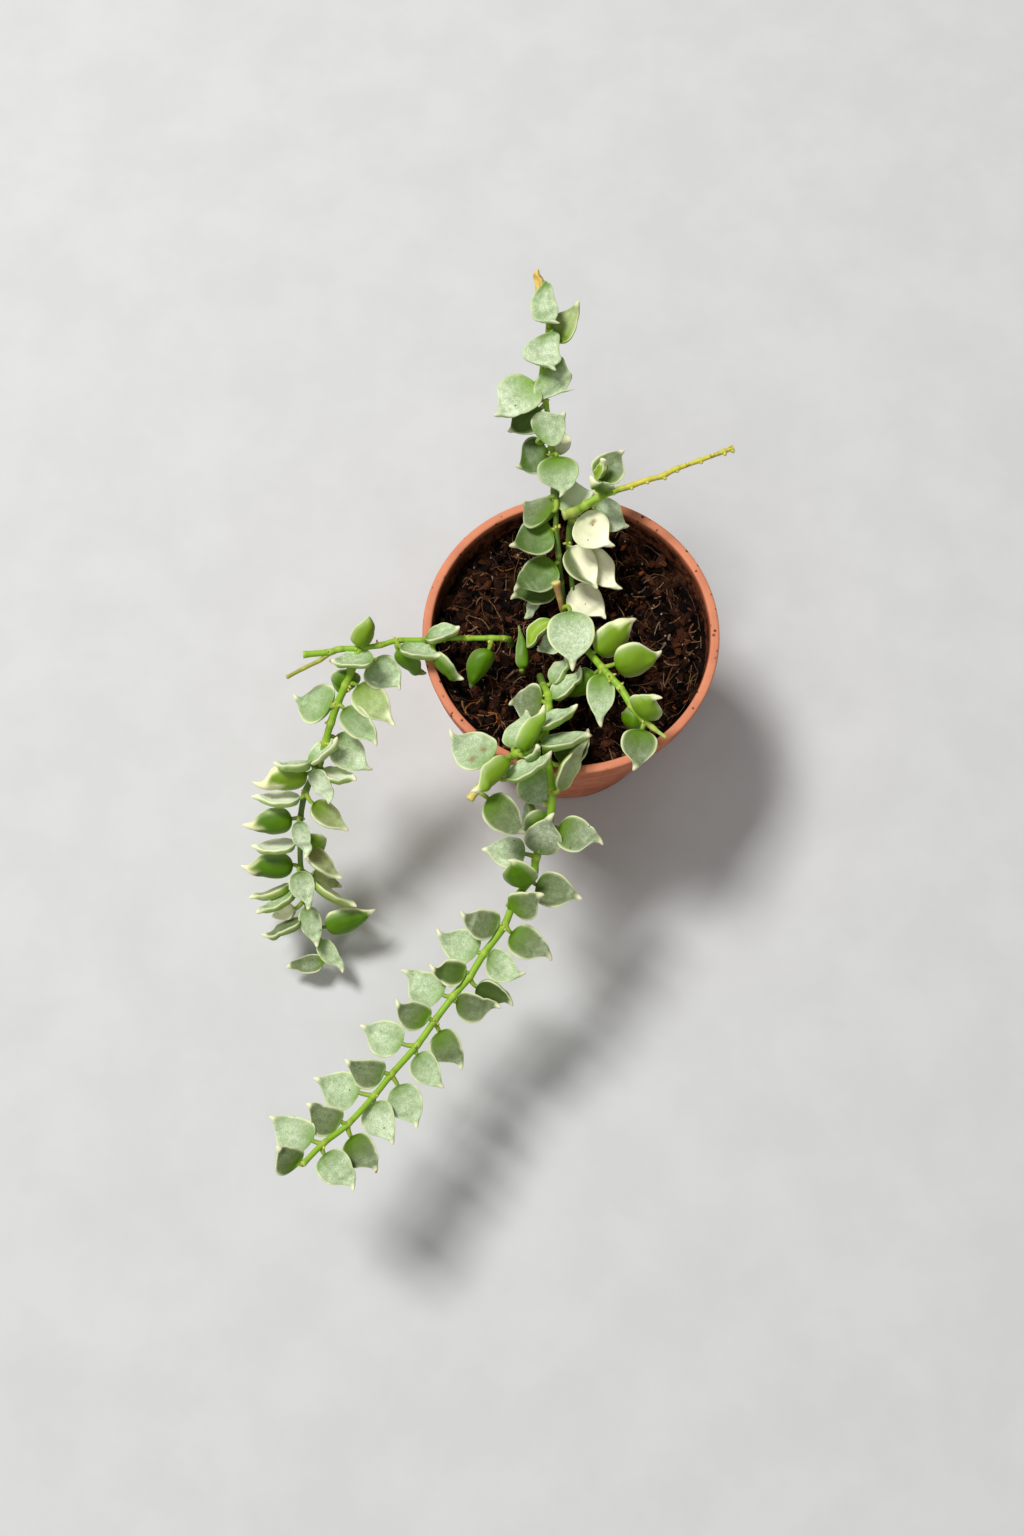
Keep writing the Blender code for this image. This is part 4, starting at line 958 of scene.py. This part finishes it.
def build_soil(finish):
    """Make the potting mix with its bark, fibres and white grains."""
    dice = random.Random(11)
    shell = Shell()
    add_ground(shell)
    work = bmesh.new()
    bmesh.ops.create_icosphere(work, subdivisions=1, radius=1)
    sphere = ([tuple(v.co) for v in work.verts], [[v.index for v in face.verts] for face in work.faces])
    work.free()
    for _ in range(CHIPS):
        long = 0.9 + 4.6 * dice.random() ** 2
        sizes = (long, long * dice.uniform(0.3, 0.8), min(long * dice.uniform(0.25, 0.6), 1.6))
        colour = dice.choices(BARK_TONES, BARK_SHARES)[0] * dice.uniform(0.7, 1.25)
        add_chip(shell, dice, sphere, sizes, colour)
    for _ in range(GRAINS):
        size = dice.uniform(0.3, 0.8)
        add_chip(shell, dice, sphere, (size, size, size), GRAIN)
    for _ in range(FIBRES):
        colour = FIBRE_DARK.lerp(FIBRE_PALE, dice.random() ** 3)
        add_fibre(shell, dice, dice.uniform(3, 15), dice.uniform(0.07, 0.15), 1.3, colour)
    for _ in range(SHREDS):
        colour = dice.choices(SHRED_TONES, SHRED_SHARES)[0] * dice.uniform(0.6, 1.15)
        add_fibre(shell, dice, dice.uniform(2, 7.5), dice.uniform(0.08, 0.16), dice.uniform(2, 3.5), colour)
    shell.piece("soil_mix", finish, "soil", "potting_mix", smooth_skin=False)


def rounded(corners):
    """Return an outline of (radius, height) points with each corner rounded by its own radius."""
    outline_points = []
    for number, (x, z, radius) in enumerate(corners):
        corner = Vector((x, z))
        if radius == 0:
            outline_points.append(corner)
            continue
        back = (Vector(corners[number - 1][:2]) - corner).normalized()
        on = (Vector(corners[number + 1][:2]) - corner).normalized()
        for step in range(ROUND_STEPS + 1):
            share = step / ROUND_STEPS
            outline_points.append(curve(corner + back * radius, corner, corner + on * radius, share))
    return outline_points


def build_pot(finish):
    """Make the turned pot and cut its drain holes."""
    # Radius, height and rounding of each corner, from the middle of the base to that of the floor
    corners = (
        (0, 0, 0), (BASE_RADIUS, 0, 1.2), (WALL_RADIUS, COLLAR_FOOT - 0.4, 0.5),
        (COLLAR_RADIUS + 0.4, COLLAR_FOOT + 0.2, 0.5), (RIM_RADIUS, POT_HEIGHT, 1.0),
        (MOUTH_RADIUS, POT_HEIGHT, 0.9), (INNER_RADIUS, COLLAR_FOOT, 2),
        (inner_radius(POT_FLOOR), POT_FLOOR, 1.2), (0, POT_FLOOR, 0),
    )
    work = bmesh.new()
    rows = []
    for radius, height in rounded(corners):
        places = circle(radius, POT_SIDES) if radius else [(0, 0)]
        rows.append([work.verts.new((x * MM, y * MM, height * MM)) for x, y in places])
    for low, high in zip(rows, rows[1:]):
        for number in range(POT_SIDES):
            after = (number + 1) % POT_SIDES
            corner_points = [low[number % len(low)], low[after % len(low)]]
            corner_points += [high[after % len(high)], high[number % len(high)]]
            work.faces.new(list(dict.fromkeys(corner_points)))
    bmesh.ops.recalc_face_normals(work, faces=work.faces)
    piece = solid("pot_shell", work)
    cut_drains(piece)
    piece.data.shade_smooth()
    piece.data.set_sharp_from_angle(angle=radians(SHARP_ANGLE))
    piece.data.materials.clear()
    piece.data.materials.append(finish)
    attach(piece, "root")
    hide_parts("pot")


def cut_drains(piece):
    """Cut the round drain holes through the pot's base."""
    work = bmesh.new()
    radius = DRAIN_RADIUS * MM
    for x, y in circle(DRAIN_CIRCLE, 2 * DRAIN_HOLES)[1::2]:
        made = bmesh.ops.create_cone(
            work, cap_ends=True, segments=DRAIN_SIDES, radius1=radius, radius2=radius, depth=DRAIN_CUT * MM,
        )
        bmesh.ops.translate(work, verts=made["verts"], vec=Vector((x, y, POT_FLOOR / 2)) * MM)
    cutter = solid("drain_cutter", work)
    cut = piece.modifiers.new("drains", "BOOLEAN")
    cut.operation = "DIFFERENCE"
    cut.solver = "EXACT"
    cut.object = cutter
    evaluated = piece.evaluated_get(bpy.context.evaluated_depsgraph_get())
    piece.modifiers.remove(cut)
    piece.data = bpy.data.meshes.new_from_object(evaluated)
    bpy.data.objects.remove(cutter)


class Finish:
    """A node material round one Principled shader."""

    def __init__(self, name):
        self.material = bpy.data.materials.new(name)
        self.material.use_nodes = True
        self.tree = self.material.node_tree
        self.shader = self.tree.nodes["Principled BSDF"]
        self.place = self.node("TexCoord", "Object", {})

    def feed(self, socket, value):
        """Link an output to a socket, or set the socket to a plain value."""
        if isinstance(value, bpy.types.NodeSocket):
            self.tree.links.new(value, socket)
        else:
            socket.default_value = value

    def node(self, kind, output, inputs, **settings):
        """Add a node, feed its inputs and return one of its outputs."""
        node = self.tree.nodes.new("ShaderNode" + kind)
        for name, value in settings.items():
            setattr(node, name, value)
        for name, value in inputs.items():
            self.feed(node.inputs[name], value)
        return node.outputs[output]

    def noise(self, size, detail=3, roughness=0.6):
        """Return a noise output whose features are about size millimetres."""
        inputs = {"Vector": self.place, "Scale": 1 / (size * MM), "Detail": detail, "Roughness": roughness}
        return self.node("TexNoise", "Fac", inputs)

    def spots(self, size):
        """Return the distance from the nearest of scattered points about size millimetres apart."""
        return self.node("TexVoronoi", "Distance", {"Vector": self.place, "Scale": 1 / (size * MM)})

    def ramp(self, value, low, high, start=0.0, end=1.0):
        """Map value from low..high to start..end, smoothly and within them."""
        inputs = {"Value": value, "From Min": low, "From Max": high, "To Min": start, "To Max": end}
        return self.node("MapRange", "Result", inputs, interpolation_type="SMOOTHSTEP")

    def product(self, first, *others):
        """Multiply outputs and numbers."""
        for other in others:
            first = self.node("Math", 0, {0: first, 1: other}, operation="MULTIPLY")
        return first

    def mix(self, share, first, second, blend="MIX"):
        """Return a mix of two colours, each an output or a vector."""
        inputs = {"Factor": share}
        for socket, value in ((MIX_FIRST, first), (MIX_SECOND, second)):
            inputs[socket] = (*value, 1.0) if isinstance(value, Vector) else value
        return self.node("Mix", MIX_RESULT, inputs, data_type="RGBA", blend_type=blend)

    def bump(self, height, depth, strength, under=None):
        """Return a bumped normal. Depth is in millimetres."""
        inputs = {"Height": height, "Distance": depth * MM, "Strength": strength}
        if under is not None:
            inputs["Normal"] = under
        return self.node("Bump", "Normal", inputs)

    def tint(self):
        """Return the colour and the alpha of the mesh's tint attribute."""
        return [self.node("Attribute", name, {}, attribute_name="tint") for name in ("Color", "Alpha")]

    def made(self, **inputs):
        """Feed the shader's sockets, named with underscores for spaces, and return the material."""
        for name, value in inputs.items():
            self.feed(self.shader.inputs[name.replace("_", " ")], value)
        return self.material


def leaf_finish():
    """Make a waxy skin, finely stippled with frosting as much as the tint's alpha says."""
    finish = Finish("leaf_skin")
    colour, frost = finish.tint()
    grain = finish.ramp(finish.noise(0.32, 4, 0.7), 0.37, 0.63, 0.64, 1.36)
    cloud = finish.ramp(finish.noise(1.4, 2, 0.5), 0.35, 0.65, 0.8, 1.2)
    colour = finish.mix(finish.product(frost, grain, cloud), colour, FROST_TONE)
    pits = finish.ramp(finish.spots(5.5), 0.035, 0.06, 0.85, 0.0)
    colour = finish.mix(pits, colour, PIT)
    normal = finish.bump(finish.noise(2.2, 2), 0.2, 0.4)
    normal = finish.bump(finish.noise(0.5, 3), 0.05, 0.5, normal)
    roughness = finish.ramp(finish.noise(1.1, 3), 0.3, 0.7, 0.38, 0.52)
    return finish.made(
        Base_Color=colour, Normal=normal, Roughness=roughness, Specular_IOR_Level=0.25,
        Subsurface_Weight=0.1, Subsurface_Radius=(0.7, 1.0, 0.3), Subsurface_Scale=1.2 * MM,
    )


def soil_finish():
    """Make damp, crumbly organic matter."""
    finish = Finish("potting_mix_finish")
    colour, _ = finish.tint()
    grit = finish.ramp(finish.noise(0.5, 4, 0.7), 0.35, 0.65)
    colour = finish.mix(grit, colour, SOIL_GRIT, "MULTIPLY")
    normal = finish.bump(finish.noise(0.9, 5, 0.7), 0.5, 0.9)
    damp = finish.ramp(finish.noise(2.5, 3), 0.4, 0.65, 0.95, 0.6)
    return finish.made(Base_Color=colour, Normal=normal, Roughness=damp, Specular_IOR_Level=0.08)


def pot_finish():
    """Make dull terracotta plastic with pits along the rim, a painted highlight along its top, and soil
    dust with painted shade inside.
    """
    finish = Finish("terracotta_plastic")
    cloud = finish.ramp(finish.noise(9, 4, 0.6), 0.3, 0.7)
    colour = finish.mix(cloud, POT_SHADE, POT_LIT)
    height = finish.node("SeparateXYZ", "Z", {0: finish.place})
    # A lighter band along the rim's top is a painted highlight
    rim_highlight = finish.ramp(height, 74.2 * MM, 74.9 * MM, 0.0, 0.45)
    colour = finish.mix(rim_highlight, colour, RIM_HIGHLIGHT)
    pits = finish.ramp(finish.spots(2.4), 0.16, 0.26, 1.0, 0.0)
    clumps = finish.ramp(finish.noise(7, 3, 0.7), 0.47, 0.54)
    top = finish.ramp(height, 73.4 * MM, 74.4 * MM)
    colour = finish.mix(finish.product(pits, clumps, top, 0.9), colour, RIM_PIT)

    flat = finish.node("VectorMath", 0, {0: finish.place, 1: (1, 1, 0)}, operation="MULTIPLY")
    away = finish.node("VectorMath", "Value", {0: flat}, operation="LENGTH")
    inside = finish.ramp(away, (MOUTH_RADIUS - 0.2) * MM, (MOUTH_RADIUS + 0.2) * MM, 1.0, 0.0)
    slope = finish.product(height, (WALL_RADIUS - BASE_RADIUS) / COLLAR_FOOT)
    upright = finish.node("Math", 0, {0: away, 1: slope}, operation="SUBTRACT")
    within = finish.ramp(upright, (BASE_RADIUS - 0.9) * MM, (BASE_RADIUS - 0.5) * MM, 1.0, 0.0)
    above = finish.ramp(height, 0.9 * MM, 1.3 * MM)
    # Soil dust and painted shade darken the inner wall, more deeply further below the rim
    dust_and_shade = finish.ramp(finish.noise(2.4, 4, 0.65), 0.4, 0.62, 0.72, 1.0)
    fade = finish.ramp(height, 71.6 * MM, 74.2 * MM, 1.0, 0.3)
    colour = finish.mix(finish.product(dust_and_shade, fade, inside, within, above), colour, SOIL_DUST_AND_SHADE)
    normal = finish.bump(finish.noise(0.8, 3), 0.08, 0.5)
    roughness = finish.ramp(finish.noise(3, 3), 0.3, 0.7, 0.45, 0.65)
    return finish.made(Base_Color=colour, Normal=normal, Roughness=roughness, Specular_IOR_Level=0.1)


def floor_finish():
    """Make a pale matt surface with a faint grain."""
    finish = Finish("pale_floor")
    grain = finish.ramp(finish.noise(30, 3), 0.3, 0.7)
    return finish.made(Base_Color=finish.mix(grain, *FLOOR_TONES), Roughness=0.9)


def build_stage():
    """Make the floor, the lights and the camera."""
    mesh = bpy.data.meshes.new("floor")
    corners = [(x * FLOOR_REACH, y * FLOOR_REACH, 0) for x, y in ((-1, -1), (1, -1), (1, 1), (-1, 1))]
    mesh.from_pydata(corners, [], [(0, 1, 2, 3)])
    mesh.materials.append(floor_finish())
    floor = link("floor", mesh)
    floor.location.z = -FLOOR_DROP

    scene = bpy.context.scene
    scene.view_settings.view_transform = "Standard"
    world = scene.world = bpy.data.worlds.new("studio")
    world.use_nodes = True
    background = world.node_tree.nodes["Background"]
    background.inputs["Color"].default_value = WORLD_COLOUR
    background.inputs["Strength"].default_value = WORLD_STRENGTH
    for name, place, size, power in LIGHTS:
        light = bpy.data.lights.new(name, "AREA")
        light.size = size
        light.energy = power
        lamp = link(name, light)
        lamp.location = place
        lamp.rotation_euler = (LIT_PLACE - Vector(place)).to_track_quat("-Z", "Y").to_euler()

    camera = scene.camera = link("camera", bpy.data.cameras.new("camera"))
    camera.data.lens = LENS
    camera.data.sensor_width = SENSOR
    camera.data.sensor_fit = "AUTO"
    camera.data.clip_start = 0.01
    camera.location = EYE * MM
    camera.rotation_euler = (radians(90 - CAMERA_DIP), 0, 0)


build_plants(leaf_finish())
build_soil(soil_finish())
build_pot(pot_finish())
build_stage()
